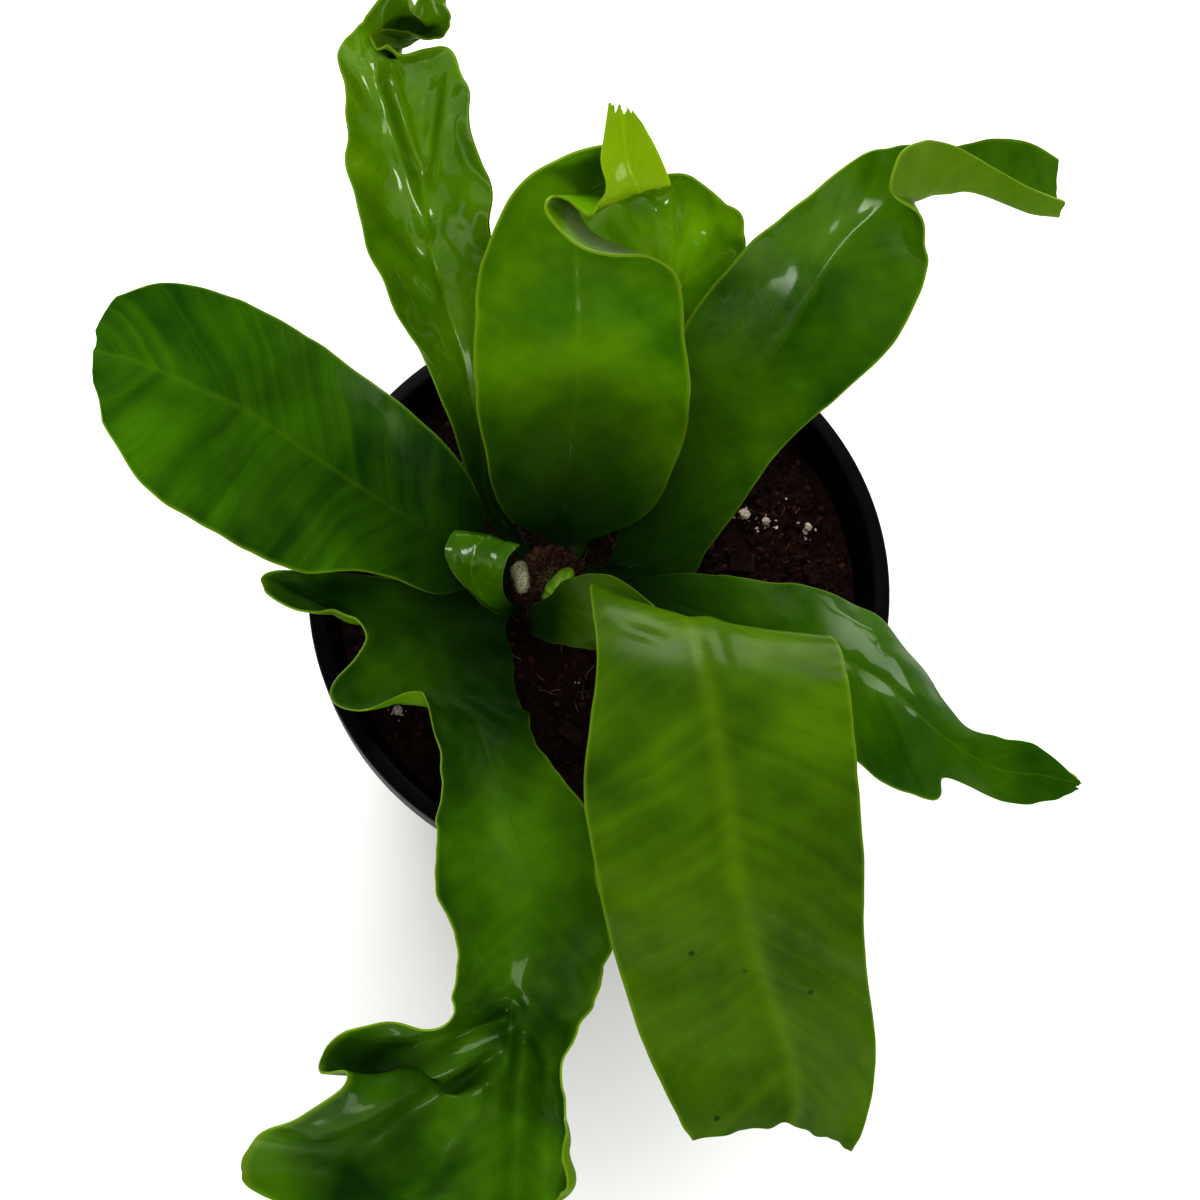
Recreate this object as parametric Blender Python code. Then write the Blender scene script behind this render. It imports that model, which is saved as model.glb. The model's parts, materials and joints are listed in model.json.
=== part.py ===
"""A young bird's-nest fern in a round black nursery pot.

Metres, +Z up.  The origin is the centre of the pot's foot, so the pot stands on z = 0.
-Y is the front.  Nine strap fronds grow in a rosette from a short crown that sits on the
potting soil, a little left of the pot's axis.
"""
import math

import bmesh
import bpy
from mathutils import Vector

MM = 0.001
GAP = 0.3 * MM                    # air left between pieces that touch
WALL_GAP = 0.6 * MM               # the same round the soil, whose sides have fewer facets

# the pot
POT_HEIGHT = 115 * MM
RIM_RADIUS = 75 * MM              # outer edge of the rolled lip
LIP_WIDTH = 4.6 * MM              # top of the lip, seen from above
SKIRT_DROP = 11 * MM              # how far the skirt hangs down from the lip's outer edge
POT_WALL = 1.1 * MM
POT_FLOOR = 1.8 * MM
FOOT_RADIUS = 52 * MM
FOOT_CHAMFER = 1.2 * MM
DRAIN_COUNT = 8
DRAIN_RADIUS = 4 * MM
DRAIN_INSET = 9 * MM              # from the foot's edge to a drain hole's centre
POT_SEGMENTS = 72

# the potting soil
SOIL_BELOW_RIM = 12 * MM
SOIL_EDGE_ROUND = 1.5 * MM
SOIL_SEGMENTS = 48

# the crown, which the fronds grow from
CROWN_AT = (-13 * MM, 0.0)
CROWN_RADIUS = 9 * MM
CROWN_HEIGHT = 7 * MM
CROWN_SEAT = 0.5 * MM             # the dome's short upright edge
CROZIER_THICKNESS = 3.2 * MM
CROZIER_CURL = 2.6 * MM           # radius of the rolled tip's middle line

# the fronds
BLADE = 1.0 * MM                  # thickness of a blade
PETIOLE_WIDTH = 4 * MM
ROWS_BETWEEN_RIBS = 2
COLUMNS = 6

SOIL_TOP = POT_HEIGHT - SOIL_BELOW_RIM


def wall_radius(z):
    """Outer radius of the pot's tapered wall at height z."""
    top = RIM_RADIUS - LIP_WIDTH + POT_WALL
    return FOOT_RADIUS + (top - FOOT_RADIUS) * z / POT_HEIGHT


def inner_radius(z):
    """Inner radius of the pot's wall at height z."""
    return wall_radius(z) - POT_WALL


# Each frond: the compass direction its stalk leaves the crown in (degrees, 0 = +X), how high
# on the crown that is, and then ribs across the blade from base to tip.  A rib is the left
# margin, the midrib and the right margin, looking from base to tip, as millimetres right of
# the pot's axis, behind it, and above the soil.
FRONDS = {
    "frond_back_left": (138, 3, [
        ((-34, 14, 16), (-32, 16, 13), (-30, 18, 16)),
        ((-40, 24, 27), (-36, 29, 23), (-32, 31, 27)),
        ((-50, 38, 46), (-43, 45, 40), (-36, 46, 45)),
        ((-62, 49, 66), (-51, 58, 60), (-37, 58, 66)),
        ((-71, 63, 86), (-56, 70, 80), (-39, 66, 86)),
        ((-73, 75, 102), (-59, 81, 96), (-45, 80, 104)),
        ((-75, 83, 114), (-63, 87, 106), (-48, 84, 116)),
        ((-69, 86, 124), (-63, 87, 117), (-53, 85, 123)),
        ((-66, 88, 130), (-62, 89, 125), (-56, 89, 128)),
    ]),
    "frond_back_centre": (84, 5, [
        ((-27, 11, 24), (-12, 17, 15), (9, 16, 24)),
        ((-34, 23, 42), (-13, 31, 28), (15, 31, 42)),
        ((-38, 38, 62), (-14, 48, 46), (11, 41, 60)),
        ((-39, 48, 78), (-16, 60, 62), (9, 53, 74)),
        ((-37, 54, 90), (-18, 65, 74), (6, 56, 88)),
        ((-32, 63, 98), (-21, 66, 86), (-9, 54, 92)),
        ((-27, 69, 102), (-23, 65, 96), (-22, 57, 96)),
        ((-20, 73, 104), (-19, 69, 98), (-15, 65, 94)),
        ((-15, 76, 108), (-10, 73, 102), (-2, 68, 98)),
        ((-15, 78, 110), (-9, 76, 106), (2, 69, 102)),
        ((-14, 81, 112), (-11, 81, 111), (-7, 81, 109)),
    ]),
    "frond_back": (58, 1, [
        ((-7, 29, 10), (-4, 30, 8), (0, 30, 10)),
        ((-7, 44, 26), (-1, 47, 20), (6, 47, 24)),
        ((-11, 58, 44), (1, 63, 34), (15, 65, 38)),
        ((-14, 66, 58), (2, 71, 46), (21, 73, 50)),
        ((-14, 70, 70), (2, 77, 56), (22, 76, 60)),
        ((-12, 73, 76), (2, 79, 68), (20, 80, 68)),
        ((-5, 75, 80), (5, 80, 78), (13, 79, 74)),
    ]),
    "frond_back_right": (27, 3, [
        ((6, 12, 10), (11, 11, 8), (20, 9, 10)),
        ((7, 20, 20), (15, 23, 16), (28, 22, 20)),
        ((8, 36, 32), (23, 37, 28), (38, 34, 32)),
        ((10, 54, 50), (32, 51, 42), (47, 44, 46)),
        ((20, 69, 66), (40, 66, 58), (60, 60, 60)),
        ((31, 79, 78), (45, 77, 70), (64, 75, 70)),
        ((43, 89, 86), (50, 87, 80), (60, 85, 74)),
        ((52, 94, 88), (54, 91, 86), (57, 88, 80)),
        ((58, 96, 90), (59, 90, 84), (62, 85, 76)),
        ((64, 98, 88), (67, 95, 82), (68, 90, 76)),
        ((75, 97, 84), (76, 94, 80), (77, 91, 76)),
        ((86, 96, 78), (87, 93, 76), (88, 91, 72)),
        ((99, 94, 70), (100, 92, 69), (100, 91, 68)),
    ]),
    "frond_left": (172, 4, [
        ((-33, -7, 12), (-31, 0, 11), (-30, 7, 14)),
        ((-42, -12, 20), (-42, 3, 20), (-34, 14, 27)),
        ((-56, -12, 32), (-55, 6, 30), (-45, 22, 42)),
        ((-72, -18, 44), (-72, 10, 46), (-65, 30, 56)),
        ((-86, -17, 56), (-87, 14, 60), (-82, 35, 68)),
        ((-98, -14, 64), (-99, 15, 70), (-97, 37, 76)),
        ((-108, -10, 72), (-112, 17, 76), (-110, 36, 80)),
        ((-117, 1, 78), (-123, 17, 80), (-120, 30, 82)),
    ]),
    "frond_front_left": (212, 1, [
        ((-22, -14, 7), (-28, -15, 7), (-35, -12, 9)),
        ((-21, -17, 8), (-28, -17, 8), (-80, -15, 28)),
        ((-21, -20, 9), (-28, -20, 9), (-83, -21, 26)),
        ((-20, -23, 11), (-28, -23, 10), (-60, -23, 24)),
        ((-19, -25, 12), (-28, -27, 10), (-56, -29, 21)),
        ((-17, -30, 14), (-26, -31, 12), (-63, -40, 22)),
        ((-16, -34, 16), (-25, -35, 13), (-58, -45, 22)),
        ((-14, -38, 18), (-24, -39, 15), (-39, -40, 20)),
        ((-8, -49, 24), (-19, -54, 19), (-32, -56, 24)),
        ((5, -62, 30), (-12, -68, 24), (-30, -70, 28)),
        ((10, -78, 36), (-5, -82, 29), (-28, -85, 32)),
        ((15, -95, 40), (-3, -95, 32), (-21, -100, 38)),
        ((13, -109, 40), (-5, -110, 32), (-19, -115, 40)),
        ((9, -121, 38), (-5, -120, 32), (-37, -121, 42)),
        ((10, -130, 36), (-4, -129, 30), (-47, -135, 38)),
        ((12, -138, 32), (-3, -140, 28), (-58, -149, 32)),
        ((12, -149, 28), (1, -150, 24), (-61, -158, 26)),
        ((10, -156, 24), (-8, -160, 22), (-49, -163, 22)),
    ]),
    "frond_front": (262, 3, [
        ((-9, -12, 18), (-9, -14, 16), (-8, -17, 14)),
        ((-2, -6, 34), (0, -14, 32), (2, -21, 28)),
        ((26, -21, 48), (15, -19, 44), (5, -22, 40)),
        ((48, -21, 62), (22, -20, 60), (1, -18, 54)),
        ((55, -22, 72), (21, -23, 72), (-2, -16, 64)),
        ((59, -34, 76), (27, -37, 74), (2, -36, 70)),
        ((63, -51, 74), (34, -58, 72), (3, -63, 72)),
        ((68, -70, 66), (40, -77, 66), (8, -80, 68)),
        ((72, -89, 56), (47, -93, 56), (15, -97, 58)),
        ((79, -110, 44), (58, -111, 44), (26, -117, 46)),
        ((80, -125, 34), (63, -123, 36), (37, -132, 38)),
        ((78, -133, 28), (63, -129, 32), (41, -136, 34)),
    ]),
    "frond_right": (355, 1, [
        ((5, 2, 6), (7, -1, 6), (8, -4, 6)),
        ((21, 6, 11), (24, -3, 10), (27, -11, 11)),
        ((38, 5, 17), (44, -9, 15), (48, -25, 16)),
        ((54, 3, 24), (60, -13, 20), (64, -35, 22)),
        ((66, -2, 30), (73, -21, 26), (77, -44, 26)),
        ((79, -13, 32), (82, -28, 30), (89, -46, 26)),
        ((89, -24, 32), (91, -33, 30), (91, -40, 26)),
        ((104, -28, 28), (104, -36, 26), (107, -43, 22)),
        ((116, -31, 24), (117, -36, 22), (118, -41, 20)),
        ((125, -34, 20), (126, -35, 19), (125, -37, 18)),
    ]),
    "frond_young": (232, 5, [
        ((-27, -13, 19), (-25, -11, 19), (-23, -10, 20)),
        ((-33, -10, 26), (-28, -9, 28), (-24, -10, 31)),
        ((-39, -7, 32), (-31, -6, 36), (-23, -7, 40)),
        ((-37, -4, 38), (-30, -3, 42), (-22, -4, 44)),
    ]),
}

# What lies on the soil: where it is, as a share of the soil's radius and a compass direction,
# its size along, across and up in millimetres, and how far it is turned.
PERLITE = {
    "perlite_1": (0.69, 38, 3.4, 2.8, 2.4, 20),
    "perlite_2": (0.63, 42, 2.6, 2.4, 2.0, 70),
    "perlite_3": (0.75, 33, 2.2, 2.0, 1.8, 10),
    "perlite_4": (0.50, 44, 2.4, 2.0, 1.6, 50),
    "perlite_5": (0.90, 27, 2.2, 1.8, 1.6, 30),
    "perlite_6": (0.94, 203, 3.0, 2.4, 2.2, 0),
    "perlite_7": (0.94, 220, 3.0, 2.6, 2.0, 40),
    "perlite_8": (0.48, 221, 2.0, 1.8, 1.4, 15),
}
BARK = {
    "bark_chip_1": (0.80, 46, 9.0, 4.0, 2.0, 65),
    "bark_chip_2": (0.90, 14, 7.0, 3.4, 2.0, 110),
    "bark_chip_3": (0.62, 20, 8.0, 4.0, 2.4, 15),
    "bark_chip_4": (0.93, 54, 6.0, 3.0, 1.8, 150),
    "bark_chip_5": (0.85, 238, 9.0, 4.4, 2.4, 130),
    "bark_chip_6": (0.93, 129, 7.0, 3.4, 2.0, 30),
    "bark_chip_7": (0.62, 268, 8.0, 3.6, 2.0, 20),
    "bark_chip_8": (0.88, 292, 8.0, 4.0, 2.2, 75),
    "bark_chip_9": (0.90, 175, 7.0, 3.6, 2.0, 95),
}


def start_empty():
    for thing in list(bpy.data.objects):
        bpy.data.objects.remove(thing, do_unlink=True)


def finish(name, colour, roughness):
    """A plain Principled material."""
    material = bpy.data.materials.new(name)
    material.use_nodes = True
    shader = material.node_tree.nodes["Principled BSDF"]
    shader.inputs["Base Color"].default_value = (*colour, 1.0)
    shader.inputs["Roughness"].default_value = roughness
    shader.inputs["Metallic"].default_value = 0.0
    return material


def object_from(name, shape, material, smooth=True):
    """Turn a bmesh into a named object with outward faces."""
    mesh = bpy.data.meshes.new(name)
    shape.to_mesh(mesh)
    shape.free()
    mesh.materials.append(material)
    if smooth:
        mesh.shade_smooth()
        mesh.set_sharp_from_angle(angle=math.radians(35))
    thing = bpy.data.objects.new(name, mesh)
    bpy.context.scene.collection.objects.link(thing)
    return thing


def turned(name, profile, segments, material):
    """Turn a closed outline of (radius, height) points, from axis to axis, about Z."""
    shape = bmesh.new()
    corners = [shape.verts.new((radius, 0, height)) for radius, height in profile]
    edges = [shape.edges.new(pair) for pair in zip(corners, corners[1:])]
    bmesh.ops.spin(shape, geom=corners + edges, cent=(0, 0, 0), axis=(0, 0, 1),
                   angle=math.tau, steps=segments, use_merge=True)
    bmesh.ops.remove_doubles(shape, verts=shape.verts, dist=0.01 * MM)
    bmesh.ops.recalc_face_normals(shape, faces=shape.faces)
    return object_from(name, shape, material)


# ---- the pot and what is in it

def make_pot(material):
    """A tapered wall, a lip rolled outwards, and a skirt that hangs clear of the wall."""
    outer = RIM_RADIUS
    inner = outer - LIP_WIDTH
    skirt_foot = POT_HEIGHT - SKIRT_DROP
    lip_under = POT_HEIGHT - POT_WALL
    edge = 0.25 * LIP_WIDTH                     # the lip's rounded corners
    profile = [
        (0, 0),
        (FOOT_RADIUS - FOOT_CHAMFER, 0),
        (FOOT_RADIUS, FOOT_CHAMFER),
        (wall_radius(lip_under), lip_under),
        (outer - POT_WALL, lip_under),
        (outer - POT_WALL, skirt_foot),
        (outer, skirt_foot),
        (outer, POT_HEIGHT - edge),
        (outer - 0.3 * edge, POT_HEIGHT - 0.3 * edge),
        (outer - edge, POT_HEIGHT),
        (inner + edge, POT_HEIGHT),
        (inner + 0.3 * edge, POT_HEIGHT - 0.3 * edge),
        (inner, POT_HEIGHT - edge),
        (inner_radius(SOIL_TOP), SOIL_TOP),
        (inner_radius(POT_FLOOR), POT_FLOOR),
        (0, POT_FLOOR),
    ]
    pot = turned("pot", profile, POT_SEGMENTS, material)
    cutters = bmesh.new()
    for number in range(DRAIN_COUNT):
        angle = math.tau * number / DRAIN_COUNT
        reach = FOOT_RADIUS - DRAIN_INSET
        hole = bmesh.ops.create_cone(cutters, cap_ends=True, segments=16, radius1=DRAIN_RADIUS,
                                     radius2=DRAIN_RADIUS, depth=4 * POT_FLOOR)
        bmesh.ops.translate(cutters, verts=hole["verts"],
                            vec=(reach * math.cos(angle), reach * math.sin(angle), 0))
    cutter = object_from("drain_cutter", cutters, material, smooth=False)
    cutter.hide_render = True
    cutter.display_type = "WIRE"
    drain = pot.modifiers.new("drain_holes", "BOOLEAN")
    drain.operation = "DIFFERENCE"
    drain.object = cutter
    return pot


def soil_radius():
    """Where the soil's top meets the pot's wall."""
    return inner_radius(SOIL_TOP) - WALL_GAP


def make_soil(material):
    bottom = POT_FLOOR + GAP
    profile = [
        (0, bottom),
        (inner_radius(bottom) - WALL_GAP, bottom),
        (soil_radius(), SOIL_TOP - SOIL_EDGE_ROUND),
        (soil_radius() - SOIL_EDGE_ROUND, SOIL_TOP),
        (0, SOIL_TOP),
    ]
    return turned("potting_soil", profile, SOIL_SEGMENTS, material)


def make_granule(name, place, material, rough):
    """One perlite bead or bark chip, lying on the soil."""
    share, compass, along, across, up, turn = place
    reach = share * (soil_radius() - SOIL_EDGE_ROUND - along * MM / 2)
    angle = math.radians(compass)
    shape = bmesh.new()
    bmesh.ops.create_icosphere(shape, subdivisions=rough, radius=0.5)
    bmesh.ops.scale(shape, verts=shape.verts, vec=(along * MM, across * MM, up * MM))
    granule = object_from(name, shape, material)
    granule.rotation_euler = (0, 0, math.radians(turn))
    granule.location = (reach * math.cos(angle), reach * math.sin(angle),
                        SOIL_TOP + GAP + up * MM / 2)
    return granule


# ---- the plant

def make_crown(material):
    """The short upright rootstock: a blunt dome standing on the soil."""
    steps = 7
    foot = SOIL_TOP + GAP
    profile = [(0, foot)]
    for step in range(steps):
        angle = math.radians(90) * step / (steps - 1)
        profile.append((CROWN_RADIUS * math.cos(angle) if step < steps - 1 else 0,
                        foot + CROWN_SEAT + CROWN_HEIGHT * math.sin(angle)))
    crown = turned("crown", profile, 24, material)
    crown.location = (*CROWN_AT, 0)
    return crown


def make_crozier(name, compass, reach, scale, material):
    """A rolled young frond: a fat hook standing on the crown's dome."""
    thickness = CROZIER_THICKNESS * scale
    inmost = max(reach - thickness / 2, 0)      # the dome is highest under this side
    rise = CROWN_HEIGHT * math.sqrt(1 - (inmost / CROWN_RADIUS) ** 2)
    foot = SOIL_TOP + CROWN_SEAT + rise + 2 * GAP
    curl = CROZIER_CURL * scale
    points = [(0, 0), (0, 1.0 * MM)]
    points += [(curl - curl * math.cos(turn), 1.5 * MM + curl * math.sin(turn))
               for turn in (math.radians(20 * step) for step in range(1, 12))]
    curve = bpy.data.curves.new(name, "CURVE")
    curve.dimensions = "3D"
    curve.bevel_depth = thickness / 2
    curve.bevel_resolution = 3
    curve.use_fill_caps = True
    spline = curve.splines.new("POLY")
    spline.points.add(len(points) - 1)
    for point, (along, up) in zip(spline.points, points):
        point.co = (along, 0, up, 1)
    curve.materials.append(material)
    crozier = bpy.data.objects.new(name, curve)
    bpy.context.scene.collection.objects.link(crozier)
    angle = math.radians(compass)
    crozier.location = (CROWN_AT[0] + reach * math.cos(angle),
                        CROWN_AT[1] + reach * math.sin(angle), foot)
    crozier.rotation_euler = (0, 0, angle + math.radians(90))
    return crozier


def stalk_foot(compass, height):
    """The first rib, where the stalk leaves the crown's side."""
    angle = math.radians(compass)
    reach = CROWN_RADIUS + GAP + BLADE / 2 + 0.3 * MM
    middle = Vector((CROWN_AT[0] + reach * math.cos(angle),
                     CROWN_AT[1] + reach * math.sin(angle), height * MM))
    side = Vector((-math.sin(angle), math.cos(angle), 0)) * PETIOLE_WIDTH / 2
    return (middle + side, middle, middle - side)


def smooth_between(before, start, end, after, share):
    """A point on the smooth curve that runs through start and end."""
    square, cube = share ** 2, share ** 3
    return 0.5 * (2 * start + (end - before) * share
                  + (2 * before - 5 * start + 4 * end - after) * square
                  + (3 * start - before - 3 * end + after) * cube)


def across_blade(left, middle, right, share):
    """A point on the parabola through the two margins and the midrib."""
    return (left * (1 - share) * (1 - 2 * share) + middle * 4 * share * (1 - share)
            + right * share * (2 * share - 1))


def make_frond(name, compass, height, ribs, material):
    """A blade: a sheet through its ribs, given its thickness."""
    spread = [stalk_foot(compass, height)]
    spread += [tuple(Vector(point) * MM for point in rib) for rib in ribs]
    rows = []
    for number in range(len(spread) - 1):
        around = [spread[max(number - 1, 0)], spread[number], spread[number + 1],
                  spread[min(number + 2, len(spread) - 1)]]
        for step in range(ROWS_BETWEEN_RIBS):
            share = step / ROWS_BETWEEN_RIBS
            rows.append([smooth_between(*(rib[part] for rib in around), share)
                         for part in range(3)])
    rows.append(spread[-1])
    shape = bmesh.new()
    grid = []
    for left, middle, right in rows:
        grid.append([shape.verts.new(across_blade(left, middle, right, column / COLUMNS))
                     for column in range(COLUMNS + 1)])
    for near, far in zip(grid, grid[1:]):
        for column in range(COLUMNS):
            shape.faces.new((near[column + 1], near[column], far[column], far[column + 1])[::-1])
    frond = object_from(name, shape, material)
    frond.location = (0, 0, SOIL_TOP)
    thickness = frond.modifiers.new("thickness", "SOLIDIFY")
    thickness.thickness = BLADE
    thickness.offset = 0
    return frond


def build():
    start_empty()
    black_plastic = finish("black_pot_plastic", (0.012, 0.013, 0.014), 0.45)
    dark_peat = finish("dark_peat", (0.022, 0.012, 0.008), 0.95)
    white_perlite = finish("white_perlite", (0.60, 0.57, 0.52), 0.85)
    red_bark = finish("red_bark", (0.075, 0.030, 0.018), 0.85)
    brown_scales = finish("brown_crown_scales", (0.060, 0.030, 0.020), 0.85)
    pale_green = finish("pale_green_crozier", (0.18, 0.30, 0.04), 0.45)
    leaf_green = finish("glossy_fern_green", (0.055, 0.160, 0.005), 0.30)
    make_pot(black_plastic)
    make_soil(dark_peat)
    make_crown(brown_scales)
    make_crozier("crozier_green", 335, CROWN_RADIUS / 2, 1.0, pale_green)
    make_crozier("crozier_downy", 155, CROWN_RADIUS / 2, 0.9, brown_scales)
    for name, (compass, height, ribs) in FRONDS.items():
        make_frond(name, compass, height, ribs, leaf_green)
    for name, place in PERLITE.items():
        make_granule(name, place, white_perlite, 2)
    for name, place in BARK.items():
        make_granule(name, place, red_bark, 2)


build()
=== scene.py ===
# %% [markdown]
# # A young bird's-nest fern in a nursery pot
# The plant is nine strap-shaped fronds round a short crown.  It grows in peaty potting soil
# with bark and perlite in it, in a round black plastic pot.  The imported model gives every
# piece its place.  This file gives each piece the surface of the real one.
#
# We load the imported model first, and keep its box.

# %% Load the imported model
import json
import math
import random

import bpy
from mathutils import Matrix, Vector, noise

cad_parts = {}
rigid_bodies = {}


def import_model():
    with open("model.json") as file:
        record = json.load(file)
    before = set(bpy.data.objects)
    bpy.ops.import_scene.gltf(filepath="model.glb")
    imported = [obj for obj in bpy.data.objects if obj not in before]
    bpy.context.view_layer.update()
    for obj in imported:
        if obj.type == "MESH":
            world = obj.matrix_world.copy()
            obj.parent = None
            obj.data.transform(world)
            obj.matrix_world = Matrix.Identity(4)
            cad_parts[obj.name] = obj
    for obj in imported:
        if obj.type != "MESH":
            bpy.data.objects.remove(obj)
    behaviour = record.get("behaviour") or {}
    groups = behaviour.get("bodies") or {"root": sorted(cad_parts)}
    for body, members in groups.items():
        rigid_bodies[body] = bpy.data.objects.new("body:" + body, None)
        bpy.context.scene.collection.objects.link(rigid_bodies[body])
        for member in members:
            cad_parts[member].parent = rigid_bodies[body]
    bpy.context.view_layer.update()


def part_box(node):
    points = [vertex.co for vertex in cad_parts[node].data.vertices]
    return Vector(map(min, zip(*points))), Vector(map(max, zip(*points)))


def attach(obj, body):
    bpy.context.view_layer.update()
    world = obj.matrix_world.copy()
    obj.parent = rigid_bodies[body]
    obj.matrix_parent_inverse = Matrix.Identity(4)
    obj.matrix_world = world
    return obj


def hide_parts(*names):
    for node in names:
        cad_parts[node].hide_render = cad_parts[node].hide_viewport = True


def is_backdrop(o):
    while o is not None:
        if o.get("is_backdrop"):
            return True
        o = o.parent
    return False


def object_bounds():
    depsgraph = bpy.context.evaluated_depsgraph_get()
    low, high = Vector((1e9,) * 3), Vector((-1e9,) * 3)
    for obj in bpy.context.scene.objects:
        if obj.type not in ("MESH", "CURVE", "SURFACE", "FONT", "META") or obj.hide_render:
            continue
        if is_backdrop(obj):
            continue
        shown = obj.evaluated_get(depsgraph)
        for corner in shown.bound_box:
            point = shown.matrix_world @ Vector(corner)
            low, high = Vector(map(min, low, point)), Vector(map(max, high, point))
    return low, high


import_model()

MM = 0.001
pot_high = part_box("pot")[1]
soil_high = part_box("potting_soil")[1]
RIM = pot_high.z
SOIL = soil_high.z
CROWN_AT = (-13 * MM, 0.0)
CROWN_RADIUS = 9 * MM
print("rim", round(RIM, 4), "soil", round(SOIL, 4))

# %% [markdown]
# ## The camera
# The plant is looked at from nearly overhead, from the front, with the camera turned a
# little.  A camera needs a place, a direction and a roll.  We build its three axes from the
# point it looks at, which is easier to reason about than three angles.

# %% Camera
ELEVATION = math.radians(74.25)
ROLL = math.radians(8.94)
DISTANCE = 0.560
AIM = Vector((0.0006, -0.0049, RIM))
LENS_MM = 65.3

eye = Vector((0, -DISTANCE * math.cos(ELEVATION), RIM + DISTANCE * math.sin(ELEVATION)))
look = (AIM - eye).normalized()
side = look.cross(Vector((0, 0, 1))).normalized()
level = Matrix((side, side.cross(look), -look)).transposed()
bpy.ops.object.camera_add()
camera = bpy.context.object
camera.matrix_world = Matrix.Translation(eye) @ level.to_4x4() @ Matrix.Rotation(ROLL, 4, "Z")
camera.data.lens = LENS_MM
camera.data.sensor_width = 36
camera.data.clip_start = 0.01
bpy.context.scene.camera = camera
print("camera at", [round(number, 3) for number in eye])

# %% [markdown]
# ## The floor, the air and the light
# Every surface in this file is a tree of shader nodes.  Three small tools keep the trees short
# to write: one for a colour, one for a node and one for an empty material.

# %% Material tools
def linear(code):
    """An sRGB hex colour as the linear numbers that a shader takes."""
    parts = [int(code[place:place + 2], 16) / 255 for place in (1, 3, 5)]
    return tuple(part / 12.92 if part <= 0.04045 else ((part + 0.055) / 1.055) ** 2.4
                 for part in parts) + (1.0,)


def add(tree, kind, links=None, values=None, **settings):
    """Add a node: its settings, its sockets' values, and what feeds its sockets."""
    node = tree.nodes.new("ShaderNode" + kind)
    for name, setting in settings.items():
        setattr(node, name, setting)
    for socket, value in (values or {}).items():
        node.inputs[socket].default_value = value
    for socket, source in (links or {}).items():
        tree.links.new(source, node.inputs[socket])
    return node


def new_material(name):
    """An empty node material and its Principled shader."""
    material = bpy.data.materials.new(name)
    material.use_nodes = True
    return material, material.node_tree, material.node_tree.nodes["Principled BSDF"]


print("white is", linear("#FFFFFF"))

# %% [markdown]
# A pale paper floor runs far out behind the pot.  The air glows at the horizon, which draws the
# black pot's outline, and is dim overhead, which keeps the heart of the plant nearly black, as
# deep foliage is.

# %% Floor and air
FLOOR_SIZE = 40
HORIZON_GLOW = 0.65
OVERHEAD_GLOW = 0.24

bpy.ops.mesh.primitive_plane_add(size=FLOOR_SIZE)
floor = bpy.context.object
floor.name = "studio_floor"
paper, tree, shader = new_material("pale_studio_paper")   # matt, so it shows soft shadows only
shader.inputs["Base Color"].default_value = linear("#F4F4F2")
shader.inputs["Roughness"].default_value = 0.9
floor.data.materials.append(paper)
floor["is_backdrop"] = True

world = bpy.data.worlds.new("studio_air")
world.use_nodes = True
air = world.node_tree
upward = add(air, "SeparateXYZ", {0: add(air, "TexCoord").outputs["Generated"]}).outputs["Z"]
fade = add(air, "MapRange", {"Value": upward},
           {"From Min": 0.10, "From Max": 0.45, "To Min": HORIZON_GLOW, "To Max": OVERHEAD_GLOW},
           interpolation_type="SMOOTHSTEP")
air.nodes["Background"].inputs["Color"].default_value = linear("#FFFFFF")
air.links.new(fade.outputs[0], air.nodes["Background"].inputs["Strength"])
bpy.context.scene.world = world
print("floor", FLOOR_SIZE, "m, air", HORIZON_GLOW, "to", OVERHEAD_GLOW)

# %% [markdown]
# The window behind the plant is what a glossy frond shows as a long pale sheen.  The small one
# in front gives short glints.  The fill and the ceiling only brighten, and nothing mirrors them.

# %% Lights
# place, size in metres, and watts
LIGHTS = {
    "window_behind": ((-0.15, 1.05, 1.00), (1.0, 0.9), 14),
    "window_front": ((0.25, -1.30, 0.55), (0.5, 0.3), 5),
    "side_fill": ((-1.1, -0.4, 0.9), (0.8, 0.8), 2),
}
CEILING_AT = (0.05, -0.25, 1.70)
CEILING_STRENGTH = 1.2
CEILING_SPREAD = math.radians(53)


def aim_at_pot(lamp):
    """Turn a lamp towards the middle of the pot's mouth."""
    way = Vector((0, 0, RIM)) - lamp.location
    lamp.rotation_euler = way.to_track_quat("-Z", "Y").to_euler()


for name, (place, size, watts) in LIGHTS.items():
    bpy.ops.object.light_add(type="AREA", location=place)
    lamp = bpy.context.object
    lamp.name = name
    lamp.data.shape = "RECTANGLE"
    lamp.data.size, lamp.data.size_y = size
    lamp.data.energy = watts
    lamp.visible_glossy = name.startswith("window")
    aim_at_pot(lamp)
bpy.ops.object.light_add(type="SUN", location=CEILING_AT)
ceiling = bpy.context.object
ceiling.name = "ceiling"
ceiling.data.energy = CEILING_STRENGTH
ceiling.data.angle = CEILING_SPREAD
ceiling.visible_glossy = False
aim_at_pot(ceiling)
bpy.context.scene.view_settings.view_transform = "Standard"
bpy.context.scene.view_settings.look = "High Contrast"
print("lights:", ", ".join(LIGHTS), "and the ceiling")

# %% [markdown]
# ## Tools for every piece
# A modifier is set and applied at once, edit-mode steps are run on a whole object, and a piece
# is finished in one way: its place goes into its mesh, and it takes the place of its node.

# %% Tools for one object
def select_only(thing):
    """Leave one object selected and active."""
    bpy.ops.object.select_all(action="DESELECT")
    thing.select_set(True)
    bpy.context.view_layer.objects.active = thing


def apply_modifier(thing, kind, **settings):
    """Add a modifier, set it and apply it."""
    select_only(thing)
    modifier = thing.modifiers.new(kind.lower(), kind)
    for name, setting in settings.items():
        setattr(modifier, name, setting)
    bpy.ops.object.modifier_apply(modifier=modifier.name)


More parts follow.
